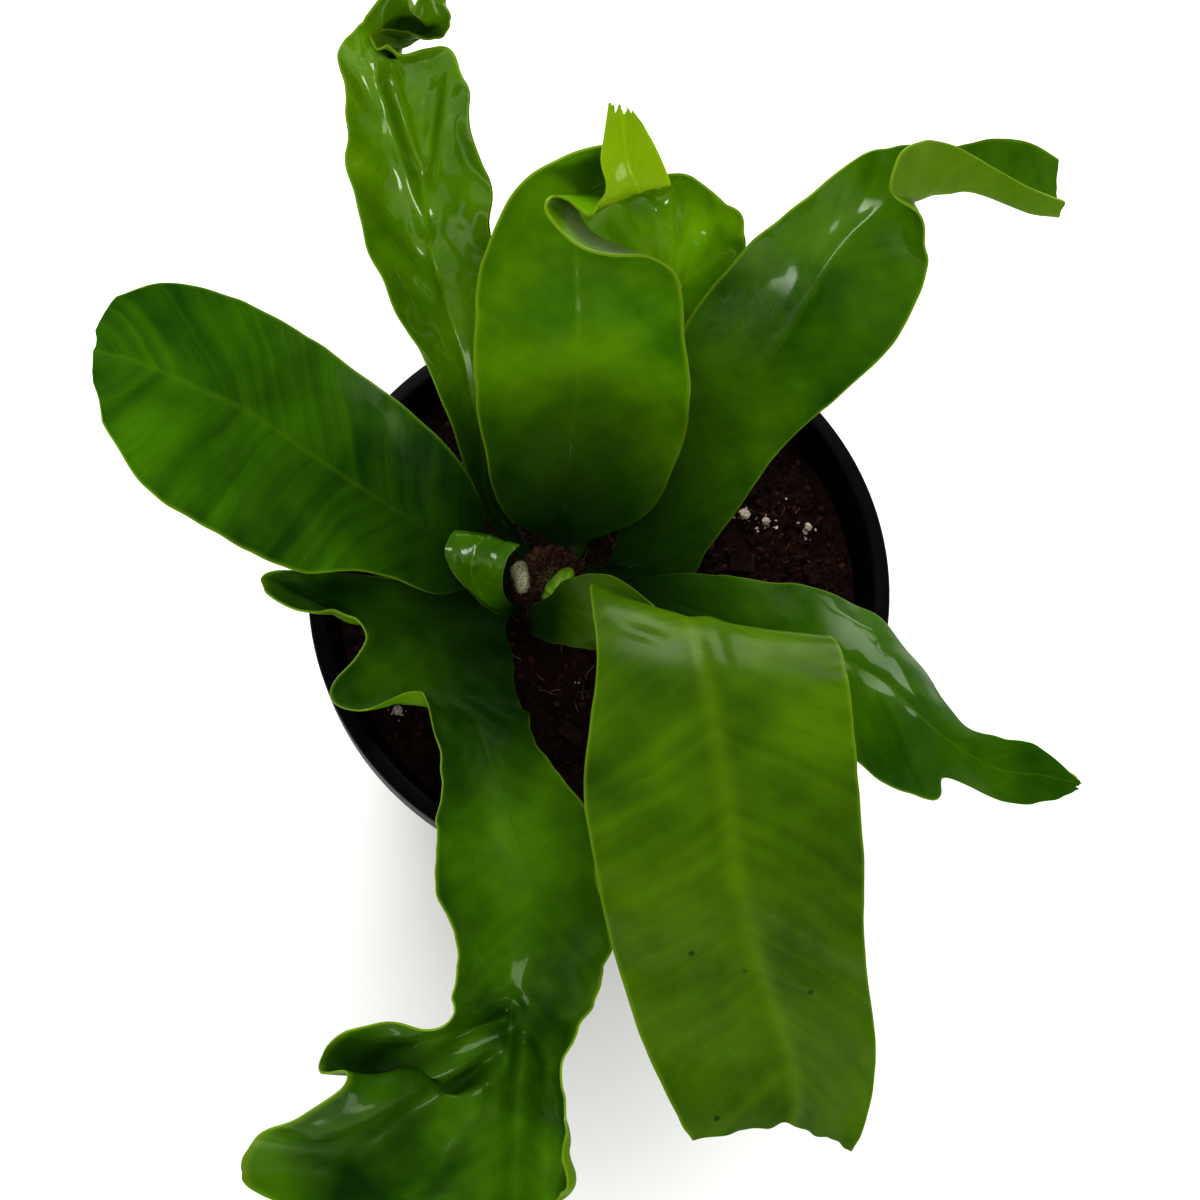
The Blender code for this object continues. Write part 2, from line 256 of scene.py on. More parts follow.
def edit(thing, *steps):
    """Run edit-mode steps on the whole of one object."""
    select_only(thing)
    bpy.ops.object.mode_set(mode="EDIT")
    bpy.ops.mesh.select_all(action="SELECT")
    for step in steps:
        step()
    bpy.ops.object.mode_set(mode="OBJECT")


def seat(piece, nodes=(), angle=40):
    """Finish a piece: its place goes into its mesh, and it rides on the one body."""
    select_only(piece)
    bpy.ops.object.transform_apply(location=True, rotation=True, scale=True)
    bpy.ops.object.shade_smooth_by_angle(angle=math.radians(angle))
    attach(piece, "root")
    for node in nodes:
        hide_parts(node)
    print(piece.name, len(piece.data.polygons), "faces")


# %% [markdown]
# A sheet is a flat grid whose rows are laid out in space, as a leaf, a scale or a rolled-up
# tube.  Afterwards its doubled points are sewn up, or its skin is roughened by noise.

# %% Tools for sheets
def lay_grid(name, rows, material=None):
    """A flat grid with its rows of points laid out in space."""
    bpy.ops.mesh.primitive_grid_add(x_subdivisions=len(rows[0]) - 1,
                                    y_subdivisions=len(rows) - 1, size=1)
    sheet = bpy.context.object
    sheet.name = sheet.data.name = name
    for vertex, point in zip(sheet.data.vertices, (point for row in rows for point in row)):
        vertex.co = point
    if material:
        sheet.data.materials.append(material)
    return sheet


def tube_rows(path, radii, sides, flat=1.0):
    """Rings of points round a path, ready for lay_grid; flat squashes them into a strap."""
    rows = []
    for number, (centre, radius) in enumerate(zip(path, radii)):
        ahead = path[min(number + 1, len(path) - 1)] - path[max(number - 1, 0)]
        across = ahead.cross(Vector((0.13, 0.27, 1))).normalized()
        upward = across.cross(ahead).normalized()
        rows.append([centre + radius * (math.cos(turn) * across + flat * math.sin(turn) * upward)
                     for turn in (math.tau * side / sides for side in range(sides + 1))])
    return rows


def sew(thing):
    """Merge doubled points and turn the faces outwards."""
    edit(thing, lambda: bpy.ops.mesh.remove_doubles(threshold=0.01 * MM),
         lambda: bpy.ops.mesh.normals_make_consistent(inside=False))


def roughen(thing, size_mm, height_mm, seed=0):
    """Push points along their normals by soft noise with lumps of about one size."""
    for vertex in thing.data.vertices:
        place = vertex.co / (size_mm * MM) + Vector((seed, 0.7 * seed, 0))
        vertex.co += vertex.normal * height_mm * MM * noise.fractal(place, 0.9, 2.1, 4)
    thing.data.update()


# %% [markdown]
# Small things that lie about in hundreds are a few shapes, copied with a seeded turn and size
# into one mesh.

# %% Tools for heaps
def scatter(name, shapes, places, material):
    """One mesh out of many copies: each place is a shape's number and a matrix."""
    points, faces = [], []
    for kind, matrix in places:
        mesh = shapes[kind].data
        first = len(points)
        points += [matrix @ vertex.co for vertex in mesh.vertices]
        faces += [[first + corner for corner in face.vertices] for face in mesh.polygons]
    mesh = bpy.data.meshes.new(name)
    mesh.from_pydata(points, [], faces)
    mesh.materials.append(material)
    heap = bpy.data.objects.new(name, mesh)
    bpy.context.collection.objects.link(heap)
    return heap


def drop(things):
    """Delete shapes that were only patterns for others."""
    for thing in things:
        bpy.data.objects.remove(thing, do_unlink=True)


def tumbled(dice, place, low, high, squash=1.0):
    """A matrix that turns a unit shape at random and gives it a random size in millimetres."""
    size = dice.uniform(low, high) * MM
    turn = Matrix.Rotation(dice.uniform(0, math.tau), 4, "Z") \
        @ Matrix.Rotation(dice.uniform(-0.6, 0.6), 4, "X")
    return Matrix.Translation(place) @ turn @ Matrix.Diagonal(
        (size, size * dice.uniform(0.6, 1.0), size * squash * dice.uniform(0.5, 0.9), 1))


# %% [markdown]
# ## Noise in a material
# Every natural surface here is two or three colours mixed by noise, and a little relief.  The
# grain is given in millimetres, so that each pattern keeps its real size.

# %% Grainy material
def grain(tree, size_mm, detail=3.0, low=0.35, high=0.65):
    """Noise with lumps of a given size, stretched to fill 0 to 1."""
    solid = add(tree, "TexCoord").outputs["Object"]
    lumps = add(tree, "TexNoise", {"Vector": solid},
                {"Scale": 1 / (size_mm * MM), "Detail": detail, "Roughness": 0.6})
    return add(tree, "MapRange", {"Value": lumps.outputs["Fac"]},
               {"From Min": low, "From Max": high}).outputs[0]


def grainy_material(name, layers, rough, bump_mm, relief_mm, sheen=0.3):
    """Layers of (colour, grain size, amount) over a first colour, with fine relief."""
    material, tree, shader = new_material(name)
    (first, *_), *others = layers
    colour = None
    for code, size_mm, amount in others:
        mask = add(tree, "Math", {0: grain(tree, size_mm)}, {1: amount}, operation="MULTIPLY",
                   use_clamp=True)
        links = {0: mask.outputs[0]}
        values = {7: linear(code)}
        if colour:
            links[6] = colour
        else:
            values[6] = linear(first)
        colour = add(tree, "Mix", links, values, data_type="RGBA").outputs[2]
    tree.links.new(colour, shader.inputs["Base Color"])
    bump = add(tree, "Bump", {"Height": grain(tree, bump_mm, 4.0, 0.2, 0.8)},
               {"Strength": 0.8, "Distance": relief_mm * MM})
    tree.links.new(bump.outputs[0], shader.inputs["Normal"])
    shader.inputs["Roughness"].default_value = rough
    shader.inputs["Specular IOR Level"].default_value = sheen
    return material


# %% [markdown]
# ## The pot
# A nursery pot is one thin shell of black polypropylene: a tapered wall, a lip rolled outwards
# and a skirt that hangs clear of the wall, so that pots can be nested and lifted.  The mould
# pushes it out as one skin, and we make it the same way: one disc, the underside of the floor,
# pushed and widened ring by ring up the outside, over the lip and back down the inside.
# First come its sizes and its plastic.

# %% Pot sizes and plastic
LIP_WIDTH = 4.6 * MM
SKIRT_DROP = 11 * MM
POT_WALL = 1.1 * MM
POT_FLOOR = 1.8 * MM
FOOT_RADIUS = 52 * MM
DRAIN_HOLES = 8
DRAIN_RADIUS = 4 * MM
DRAIN_INSET = 9 * MM
RIM_RADIUS = pot_high.x
POT_SEGMENTS = 144


def wall_radius(height):
    """Outer radius of the tapered wall."""
    top = RIM_RADIUS - LIP_WIDTH + POT_WALL
    return FOOT_RADIUS + (top - FOOT_RADIUS) * height / RIM


def inner_radius(height):
    """Inner radius of the tapered wall."""
    return wall_radius(height) - POT_WALL


def ring_at(height, push=0.0):
    """A ring of the profile on the wall's outside, or pushed out from it."""
    return (wall_radius(height) + push, height)


plastic = grainy_material(
    "black_polypropylene",                    # satin black, a little greyed by dust
    [("#030304",), ("#060607", 30, 0.6), ("#0E0E0C", 3, 0.2)],
    rough=0.45, bump_mm=0.35, relief_mm=0.03, sheen=0.16)

print("foot", FOOT_RADIUS, "m, rim", round(RIM_RADIUS, 4), "m in radius")

# %% [markdown]
# The profile is rings of (radius, height): the rounded foot, a low bead round the wall, the
# wall, the skirt's underside and edge, the lip with its two rounded corners, and the inside.

# %% Pot profile
edge = 0.25 * LIP_WIDTH
outer, inner = RIM_RADIUS, RIM_RADIUS - LIP_WIDTH
profile = [(FOOT_RADIUS - 2.2 * MM, 0), (FOOT_RADIUS - 0.6 * MM, 0.35 * MM),
           (FOOT_RADIUS, 1.4 * MM), ring_at(9 * MM), ring_at(9.8 * MM, 0.35 * MM),
           ring_at(11.6 * MM, 0.35 * MM), ring_at(12.4 * MM), ring_at(50 * MM),
           ring_at(RIM - 2.2 * MM), (outer - 1.6 * POT_WALL, RIM - POT_WALL),
           (outer - POT_WALL, RIM - 1.6 * POT_WALL), (outer - POT_WALL, RIM - SKIRT_DROP),
           (outer - 0.5 * POT_WALL, RIM - SKIRT_DROP - 0.4 * MM), (outer, RIM - SKIRT_DROP)]
profile += [(outer - edge + edge * math.cos(turn), RIM - edge + edge * math.sin(turn))
            for turn in (math.radians(15 * step) for step in range(7))]
profile += [(inner + edge - edge * math.sin(turn), RIM - edge + edge * math.cos(turn))
            for turn in (math.radians(15 * step) for step in range(7))]
profile += [(inner_radius(height), height) for height in (SOIL, 60 * MM, 4 * MM)]
profile += [(inner_radius(POT_FLOOR) - 2 * MM, POT_FLOOR)]
print(len(profile), "rings from the underside to the inside")

# %% [markdown]
# The disc is pushed and widened from one ring to the next.

# %% Pot shell
bpy.ops.mesh.primitive_circle_add(vertices=POT_SEGMENTS, radius=profile[0][0], fill_type="NGON")
pot = bpy.context.object
pot.name = pot.data.name = "nursery_pot"
select_only(pot)
bpy.ops.object.mode_set(mode="EDIT")
bpy.ops.mesh.select_all(action="SELECT")
for (radius, height), (wider, higher) in zip(profile, profile[1:]):
    bpy.ops.mesh.extrude_region_move(
        TRANSFORM_OT_translate={"value": (0, 0, higher - height)})
    bpy.ops.transform.resize(value=(wider / radius, wider / radius, 1))
bpy.ops.mesh.select_all(action="SELECT")
bpy.ops.mesh.normals_make_consistent(inside=False)
bpy.ops.object.mode_set(mode="OBJECT")
pot.data.materials.append(plastic)
print("shell", len(pot.data.polygons), "faces")

# %% [markdown]
# The drain holes: round pins stand where the holes will be, and are cut out of the floor.

# %% Drain holes
pins = []
for number in range(DRAIN_HOLES):
    angle = math.tau * number / DRAIN_HOLES
    reach = FOOT_RADIUS - DRAIN_INSET
    bpy.ops.mesh.primitive_cylinder_add(
        vertices=32, radius=DRAIN_RADIUS, depth=8 * MM,
        location=(reach * math.cos(angle), reach * math.sin(angle), 0))
    pins.append(bpy.context.object)
    apply_modifier(pot, "BOOLEAN", operation="DIFFERENCE", object=pins[-1], solver="EXACT")
drop(pins)
seat(pot, ["pot"], angle=35)

# %% [markdown]
# ## Potting soil
# Moist peat is dark red-brown, nearly black in the hollows, and it is crumbs all the way: no
# part of it is flat.  Loose crumbs, bark bits and root fibres lie on it in their hundreds.

# %% Soil materials
SOIL_CELLS = 110
SOIL_RADIUS = inner_radius(SOIL) - 0.7 * MM

peat = grainy_material(
    "moist_peat",                             # dark red-brown, with nearly black hollows
    [("#120906",), ("#2A1710", 1.6, 0.9), ("#45291C", 0.8, 0.5), ("#080504", 6, 0.6)],
    rough=0.85, bump_mm=0.6, relief_mm=0.5, sheen=0.25)
crumb_bark = grainy_material(
    "bark_crumbs",                            # redder, drier specks that catch the light
    [("#341C12",), ("#5A3424", 1.2, 0.8), ("#120A08", 0.7, 0.5)],
    rough=0.75, bump_mm=0.3, relief_mm=0.2)
root_fibre = grainy_material(
    "root_fibre",                             # straw-coloured threads, the palest soil part
    [("#4A3624",), ("#8A7358", 4, 0.9)],
    rough=0.6, bump_mm=0.2, relief_mm=0.05)


def soil_height(x, y):
    """Lumps of a few millimetres and crumbs of one, all below the packed soil's top + 1 mm."""
    place = Vector((x, y, 0)) / MM
    lumps = noise.fractal(place / 9, 0.9, 2.0, 3) * 1.3
    crumbs = noise.fractal(place / 2.2, 0.8, 2.0, 2) * 0.8
    return SOIL + (lumps + crumbs - 0.4) * MM


# %% [markdown]
# A square grid becomes a disc when each row is pulled in by the formula below, which keeps the
# cells nearly even.  Then the border goes down the wall and the mass is closed at the bottom.

# %% Soil mass
rows = []
for row in range(SOIL_CELLS + 1):
    v = 2 * row / SOIL_CELLS - 1
    points = []
    for column in range(SOIL_CELLS + 1):
        u = 2 * column / SOIL_CELLS - 1
        x = SOIL_RADIUS * u * math.sqrt(1 - v * v / 2)
        y = SOIL_RADIUS * v * math.sqrt(1 - u * u / 2)
        points.append(Vector((x, y, soil_height(x, y))))
    rows.append(points)
soil = lay_grid("peat_surface", rows, peat)
select_only(soil)
bpy.ops.object.mode_set(mode="EDIT")
bpy.ops.mesh.select_all(action="DESELECT")
bpy.ops.mesh.select_non_manifold()
deep_radius = inner_radius(POT_FLOOR) - 0.7 * MM
bpy.ops.mesh.extrude_region_move(TRANSFORM_OT_translate={"value": (0, 0, -4 * MM)})
bpy.ops.mesh.extrude_region_move(
    TRANSFORM_OT_translate={"value": (0, 0, POT_FLOOR - SOIL + 5 * MM)})
bpy.ops.transform.resize(value=(deep_radius / SOIL_RADIUS, deep_radius / SOIL_RADIUS, 1))
bpy.ops.mesh.edge_face_add()
bpy.ops.object.mode_set(mode="OBJECT")
sew(soil)
seat(soil, ["potting_soil"], angle=60)

# %% [markdown]
# Crumbs are the smallest ball with its corners pushed about, which is all a two-millimetre
# crumb shows.

# %% Crumbs
PEAT_CRUMBS = 2600
BARK_CRUMBS = 900
ROOT_FIBRES = 240


def crumb_shapes(count):
    """A few crumbs to copy from, each knocked into another shape."""
    shapes = []
    for number in range(count):
        bpy.ops.mesh.primitive_ico_sphere_add(subdivisions=1, radius=0.5)
        shapes.append(bpy.context.object)
        for vertex in shapes[-1].data.vertices:
            vertex.co *= 1 + 0.5 * noise.noise(vertex.co * 3 + Vector((7 * number, 0, 0)))
    return shapes


def on_soil(dice, margin_mm=2.0, lift_mm=0.0):
    """A random place on the soil, spread evenly over its disc."""
    reach = (SOIL_RADIUS - margin_mm * MM) * math.sqrt(dice.random())
    angle = dice.uniform(0, math.tau)
    x, y = reach * math.cos(angle), reach * math.sin(angle)
    return Vector((x, y, soil_height(x, y) + lift_mm * MM))


dice = random.Random(11)
shapes = crumb_shapes(5)
peat_crumbs = scatter("peat_crumbs", shapes, [
    (dice.randrange(5), tumbled(dice, on_soil(dice), 0.8, 3.0)) for _ in range(PEAT_CRUMBS)], peat)
bark_crumbs = scatter("bark_crumbs", shapes, [
    (dice.randrange(5), tumbled(dice, on_soil(dice, lift_mm=0.3), 0.6, 2.6, 0.6))
    for _ in range(BARK_CRUMBS)], crumb_bark)
drop(shapes)
print(PEAT_CRUMBS + BARK_CRUMBS, "crumbs")

# %% [markdown]
# Root fibres are three-sided threads with a bend in them, which catch the light as pale
# scratches on the dark peat.

# %% Root fibres
threads = []
for number in range(4):
    sway = [0.05 * math.sin(1.7 * step / 6 * math.pi + number) for step in range(7)]
    path = [Vector((step / 6 - 0.5, sway[step], 0.05 * math.cos(step + number)))
            for step in range(7)]
    radii = [0.015, 0.022, 0.022, 0.022, 0.022, 0.02, 0.01]
    threads.append(lay_grid("thread", tube_rows(path, radii, 3)))
fibres = []
for _ in range(ROOT_FIBRES):
    size = dice.uniform(2, 5.5) * MM
    fibres.append((dice.randrange(4), Matrix.Translation(on_soil(dice, 6, 0.7))
                   @ Matrix.Rotation(dice.uniform(0, math.tau), 4, "Z")
                   @ Matrix.Rotation(dice.uniform(-0.3, 0.3), 4, "Y")
                   @ Matrix.Diagonal((size, size, 0.6 * size, 1))))
fibre_heap = scatter("root_fibres", threads, fibres, root_fibre)
drop(threads)
for heap in (peat_crumbs, bark_crumbs, fibre_heap):
    sew(heap)
    seat(heap, angle=50)

# %% [markdown]
# Perlite is volcanic glass puffed up in an oven: a white, pitted, weightless crumb, stained by
# the peat it lies in.  Bark chips are split pieces of pine bark, with rough, layered edges.

# %% Perlite and bark finishes
perlite = grainy_material(
    "puffed_perlite",                         # off-white froth with brown in its pits
    [("#A79C8E",), ("#DAD2C4", 0.9, 0.9), ("#54402F", 0.5, 0.45)],
    rough=0.9, bump_mm=0.4, relief_mm=0.25)
bark = grainy_material(
    "pine_bark",                              # red-brown cork with dark layers
    [("#1C0F0A",), ("#3A2015", 1.8, 0.9), ("#0A0605", 0.7, 0.7)],
    rough=0.8, bump_mm=0.35, relief_mm=0.3)
print("grit finishes: perlite and bark")

# %% [markdown]
# Each bead is a ball and each chip a slab, grown lumpy in two sizes, at the place that the
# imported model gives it.  Fine perlite dust has rubbed off round each bead.

# %% Beads and slabs
DUST_ROUND_BEAD = 14

dice = random.Random(23)
dust = []
for node in [name for name in bpy.data.objects.keys()
             if name.startswith(("perlite_", "bark_chip_"))]:
    low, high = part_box(node)
    middle, size = (low + high) / 2, high - low
    white = node.startswith("perlite")
    if white:
        bpy.ops.mesh.primitive_ico_sphere_add(subdivisions=4, radius=0.5)
    else:
        bpy.ops.mesh.primitive_cube_add(size=1)
    grit = bpy.context.object
    grit.name = grit.data.name = node + ("_bead" if white else "_slab")
    if not white:
        edit(grit, lambda: bpy.ops.mesh.subdivide(number_cuts=9))
    turn = dice.uniform(-0.5, 0.5)
    grit.matrix_world = Matrix.Translation(middle) @ Matrix.Rotation(turn, 4, "Z") \
        @ Matrix.Diagonal((*(size * (1.0 if white else 0.86)), 1))
    select_only(grit)
    bpy.ops.object.transform_apply(location=True, rotation=True, scale=True)
    seed = dice.uniform(0, 50)
    roughen(grit, 1.6 if white else 2.5, 0.45, seed)
    roughen(grit, 0.5, 0.16, seed)
    grit.data.materials.append(perlite if white else bark)
    seat(grit, [node], angle=60 if white else 30)
    for _ in range(DUST_ROUND_BEAD if white else 0):
        angle, reach = dice.uniform(0, math.tau), dice.uniform(0.5, 3.4) * MM
        x, y = middle.x + reach * math.cos(angle), middle.y + reach * math.sin(angle)
        if math.hypot(x, y) < SOIL_RADIUS - MM:
            place = Vector((x, y, soil_height(x, y) + 0.3 * MM))
            dust.append((dice.randrange(3), tumbled(dice, place, 0.3, 1.3)))
print(len(dust), "grains of dust round the beads")

# %% [markdown]
# A little more dust lies about anywhere.

# %% Perlite dust
LOOSE_DUST = 40

shapes = crumb_shapes(3)
dust += [(dice.randrange(3), tumbled(dice, on_soil(dice, 5, 0.5), 0.4, 1.1))
         for _ in range(LOOSE_DUST)]
perlite_dust = scatter("perlite_dust", shapes, dust, perlite)
drop(shapes)
sew(perlite_dust)
seat(perlite_dust)

# %% [markdown]
# ## The crown
# The fronds spring from a short upright rootstock.  Its top is packed with papery brown scales
# that overlap like tiles, and with pale down that protects the rolled buds.  Two buds are up:
# a bright green one with its tip still rolled in, and one still wrapped in whitish down.

# %% Crown finishes
CROWN_HEIGHT = 7 * MM

scale_paper = grainy_material(
    "papery_scale",                           # dry chocolate brown, paler where it frays
    [("#1A0C06",), ("#3A2014", 1.5, 0.8), ("#6A4A30", 0.5, 0.3)],
    rough=0.7, bump_mm=0.25, relief_mm=0.1)
down_material = grainy_material(
    "pale_down",                              # off-white felt of fine hairs
    [("#6C5A44",), ("#A89A80", 0.8, 0.9)],
    rough=0.9, bump_mm=0.2, relief_mm=0.1)
bud_skin = grainy_material(
    "bud_skin",                               # fresh yellow-green, moist
    [("#3E6A00",), ("#86B01E", 2.5, 0.9), ("#B8CC6A", 0.8, 0.25)],
    rough=0.35, bump_mm=0.5, relief_mm=0.05, sheen=0.6)
bud_down = grainy_material(
    "downy_bud_skin",                         # the same green under grey-white felt
    [("#5E6B3C",), ("#A39C88", 1.0, 0.95), ("#CFC8BA", 0.5, 0.5)],
    rough=0.9, bump_mm=0.25, relief_mm=0.2)
print("crown finishes: scale, down, bud skin, downy bud skin")

# %% [markdown]
# The rootstock's top is a low dome: a ball, squashed, cut off below the soil and roughened.

# %% Crown dome
crown_middle = Vector((*CROWN_AT, SOIL))
bpy.ops.mesh.primitive_uv_sphere_add(segments=48, ring_count=24, radius=1)
dome = bpy.context.object
dome.name = dome.data.name = "crown_dome"
dome.matrix_world = Matrix.Translation(crown_middle) @ Matrix.Diagonal(
    (0.92 * CROWN_RADIUS, 0.92 * CROWN_RADIUS, 0.95 * CROWN_HEIGHT, 1))
select_only(dome)
bpy.ops.object.transform_apply(location=True, rotation=True, scale=True)
edit(dome, lambda: bpy.ops.mesh.bisect(plane_co=(0, 0, SOIL - MM), plane_no=(0, 0, 1),
                                       clear_inner=True, use_fill=True))
roughen(dome, 2.5, 0.5, 3)
dome.data.materials.append(scale_paper)
seat(dome, ["crown"], angle=60)


def on_dome(share, angle, lift_mm=0.0):
    """A place on the dome, its share of the way from the top down, with the outward normal."""
    lean = share * math.radians(88)
    out = Vector((math.sin(lean) * math.cos(angle), math.sin(lean) * math.sin(angle),
                  math.cos(lean)))
    reach = Vector((out.x * CROWN_RADIUS, out.y * CROWN_RADIUS, out.z * CROWN_HEIGHT))
    return crown_middle + reach + out * lift_mm * MM, out


# %% [markdown]
# One scale is a pointed, cupped sliver.  Copies are laid base inwards in a sunflower spiral, the
# way a fern lays them itself.

# %% Crown scales
SCALES = 150

rows = []
for row in range(6):
    along = row / 5
    half = 0.30 * math.sin(math.pi * min(0.25 + 0.75 * along, 0.985)) ** 0.8
    rows.append([Vector((along, half * side, 0.16 * math.sin(along * 2.4) + 0.10 * side * side))
                 for side in (-1, -0.5, 0, 0.5, 1)])
pattern = lay_grid("scale", rows)
apply_modifier(pattern, "SOLIDIFY", thickness=0.03, offset=0)

dice = random.Random(5)
tiles = []
for number in range(SCALES):
    share = 0.12 + 0.88 * math.sqrt(number / SCALES)
    angle = number * math.radians(137.5)
    place, out = on_dome(share, angle, 0.1)
    along = Vector((math.cos(angle), math.sin(angle), 0))
    along = (along - out * along.dot(out)).normalized() + out * dice.uniform(0.15, 0.7)
    along.normalize()
    side = out.cross(along).normalized()
    turn = Matrix((along, side, along.cross(side))).transposed().to_4x4()
    size = dice.uniform(1.8, 3.6) * MM
    tiles.append((0, Matrix.Translation(place) @ turn @ Matrix.Diagonal((size, size, size, 1))))
scales = scatter("crown_scales", [pattern], tiles, scale_paper)
drop([pattern])
seat(scales)

# %% [markdown]
# Down is bent hairs.  We keep their places in a list, because the downy bud adds its own.

# %% Down
CROWN_HAIRS = 700
BUD_HAIRS = 420

hairs = []
for number in range(3):
    path = [Vector((0.12 * math.sin(step * 0.6 + number), 0.1 * math.cos(step * 0.5 * number),
                    step / 4)) for step in range(5)]
    hairs.append(lay_grid("hair", tube_rows(path, [0.02, 0.025, 0.02, 0.015, 0.006], 3)))


def hair_at(place, out, length_mm, lean):
    """One hair's shape number and matrix: it stands on the skin and leans at random."""
    size = dice.uniform(*length_mm) * MM
    turn = out.to_track_quat("Z", "Y").to_matrix().to_4x4() \
        @ Matrix.Rotation(dice.uniform(0, math.tau), 4, "Z") \
        @ Matrix.Rotation(dice.uniform(*lean), 4, "X")
    return (dice.randrange(3), Matrix.Translation(place) @ turn
            @ Matrix.Diagonal((size, size, size, 1)))


tufts = []
for _ in range(CROWN_HAIRS):
    share, angle = dice.uniform(0, 0.75) ** 0.8, dice.uniform(0, math.tau)
    tufts.append(hair_at(*on_dome(share, angle, -0.2), (1.0, 2.2), (0.6, 1.4)))
print(len(tufts), "hairs on the crown")

# %% [markdown]
# A bud is a fat strap rolled in at its tip, like a fiddle's head: a tube along a spiral that
# tightens.  Both stand a little to the front and left of their places.

# %% Buds
BUD_LEAN = Vector((-2.0, -2.5, 0)) * MM
BUD_STEPS = 34

for node, material, fat in (("crozier_green", bud_skin, 2.0), ("crozier_downy", bud_down, 1.7)):
    low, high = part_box(node)
    middle, size = (low + high) / 2 + BUD_LEAN, fat * (high - low)
    foot = Vector((middle.x, middle.y, low.z - 0.5 * MM))
    heading = (middle - crown_middle)
    heading = Vector((-heading.y, heading.x, 0)).normalized()
    path, radii = [], []
    for step in range(BUD_STEPS):
        turn = 0.27 * step
        curl = 0.30 * size.z * math.exp(-0.055 * step)
        path.append(foot + Vector((0, 0, 0.48 * size.z))
                    + heading * curl * -math.cos(turn) + Vector((0, 0, 1)) * curl * math.sin(turn))
        radii.append(fat * 1.25 * MM * (1 - 0.55 * step / (BUD_STEPS - 1)))
    path = [foot + heading * -0.30 * size.z + Vector((0, 0, 0.1 * size.z))] + path
    radii = [fat * 1.4 * MM] + radii
    bud = lay_grid(node + "_bud", tube_rows(path, radii, 16, flat=1.15), material)
    sew(bud)
    edit(bud, lambda: bpy.ops.mesh.fill_holes(sides=0))
    apply_modifier(bud, "SUBSURF", levels=1, render_levels=1)
    roughen(bud, 1.4, 0.35 if "downy" in node else 0.1, 9)
    if "downy" in node:
        skin = bud.data.vertices
        for _ in range(BUD_HAIRS):
            spot = skin[dice.randrange(len(skin))]
            tufts.append(hair_at(spot.co, spot.normal, (0.7, 1.4), (0.4, 1.3)))
    seat(bud, [node], angle=70)

down = scatter("crown_down", hairs, tufts, down_material)
drop(hairs)
sew(down)
seat(down)

# %% [markdown]
# ## Leaf tissue
# A frond's upper side is a waxy, glossy skin over soft green tissue.  The eye reads it by a
# clear coat over a rougher body, by light that sinks a millimetre in and comes out greener,
# by side veins that lean towards the tip, by a midrib and by a thin pale edge.
# Each blade carries a map of its own: across from margin to margin, and along from the stalk
# in real length, so the veins keep their true spacing on every frond.

# %% Places on the blade
MAP_LENGTH = 0.2                  # metres of frond that fill the map's height
BLADE_HALF_MM = 26                # half a typical blade, for the veins' lean


def blade_places(tree):
    """Where a point is: in space, across from the midrib, away from it, and along in mm."""
    where = add(tree, "UVMap", uv_map="blade")
    split = add(tree, "SeparateXYZ", {0: where.outputs[0]})
    solid = add(tree, "TexCoord").outputs["Object"]
    centred = add(tree, "Math", {0: split.outputs["X"]}, {1: 0.5}, operation="SUBTRACT").outputs[0]
    offset = add(tree, "Math", {0: centred}, operation="ABSOLUTE")
    away = add(tree, "Math", {0: offset.outputs[0]}, {1: 2.0}, operation="MULTIPLY").outputs[0]
    along = add(tree, "Math", {0: split.outputs["Y"]}, {1: MAP_LENGTH / MM},
                operation="MULTIPLY").outputs[0]
    return solid, centred, away, along


def mixed(tree, share, under, over):
    """A colour laid over a socket's colour, as much as the share says."""
    return add(tree, "Mix", {0: share, 6: under}, {7: linear(over)}, data_type="RGBA").outputs[2]


print("the map holds", round(MAP_LENGTH / MM), "mm of frond")

# %% [markdown]
# The side veins are streaks that run out and forwards from the midrib, a little unsteady: soft
# bands of tissue, and the fine veins themselves.

# %% Vein streaks
BAND_MM = 5.0
FINE_VEIN_MM = 0.9


def vein_streaks(tree, drift, centred, away, along):
    """The bands and the fine veins, each from 0 to 1."""
    lean = add(tree, "Math", {0: away}, {1: -0.75 * BLADE_HALF_MM}, operation="MULTIPLY")
    vein = add(tree, "Math", {0: along, 1: lean.outputs[0]}, operation="ADD")
    wander = add(tree, "Math", {0: drift.outputs["Fac"]}, {1: 8.0}, operation="MULTIPLY")
    vein = add(tree, "Math", {0: vein.outputs[0], 1: wander.outputs[0]}, operation="ADD")
    streaks = []
    for spacing_mm in (BAND_MM, FINE_VEIN_MM):
        run = add(tree, "Math", {0: vein.outputs[0]}, {1: spacing_mm}, operation="DIVIDE")
        place = add(tree, "CombineXYZ", {"X": run.outputs[0], "Y": centred})
        streak = add(tree, "TexNoise", {"Vector": place.outputs[0]},
                     {"Scale": 1.0, "Detail": 1.0})
        streaks.append(add(tree, "MapRange", {"Value": streak.outputs["Fac"]},
                           {"From Min": 0.32, "From Max": 0.68}).outputs[0])
    return streaks


print("bands every", BAND_MM, "mm, veins every", FINE_VEIN_MM, "mm")

# %% [markdown]
# The colour is built up as a painter would: slow cloudy change between a deep and a fresh green,
# the bands, the fine veins, the midrib and the pale margin.  An old blade has small dark specks.
# A young, thin tip is painted a paler yellow, for the daylight that comes through it, and near
# the crown the leaf is painted nearly black-green, for the shade that the other fronds cast there.

# %% Tissue colour
PAINTED_BACKLIGHT_FROM_MM = 120.0              # along the back-centre frond, where its tip turns thin and the painted light through it begins
PAINTED_SHADE_FROM_MM = 16                # from the crown, where the deepest painted shade ends
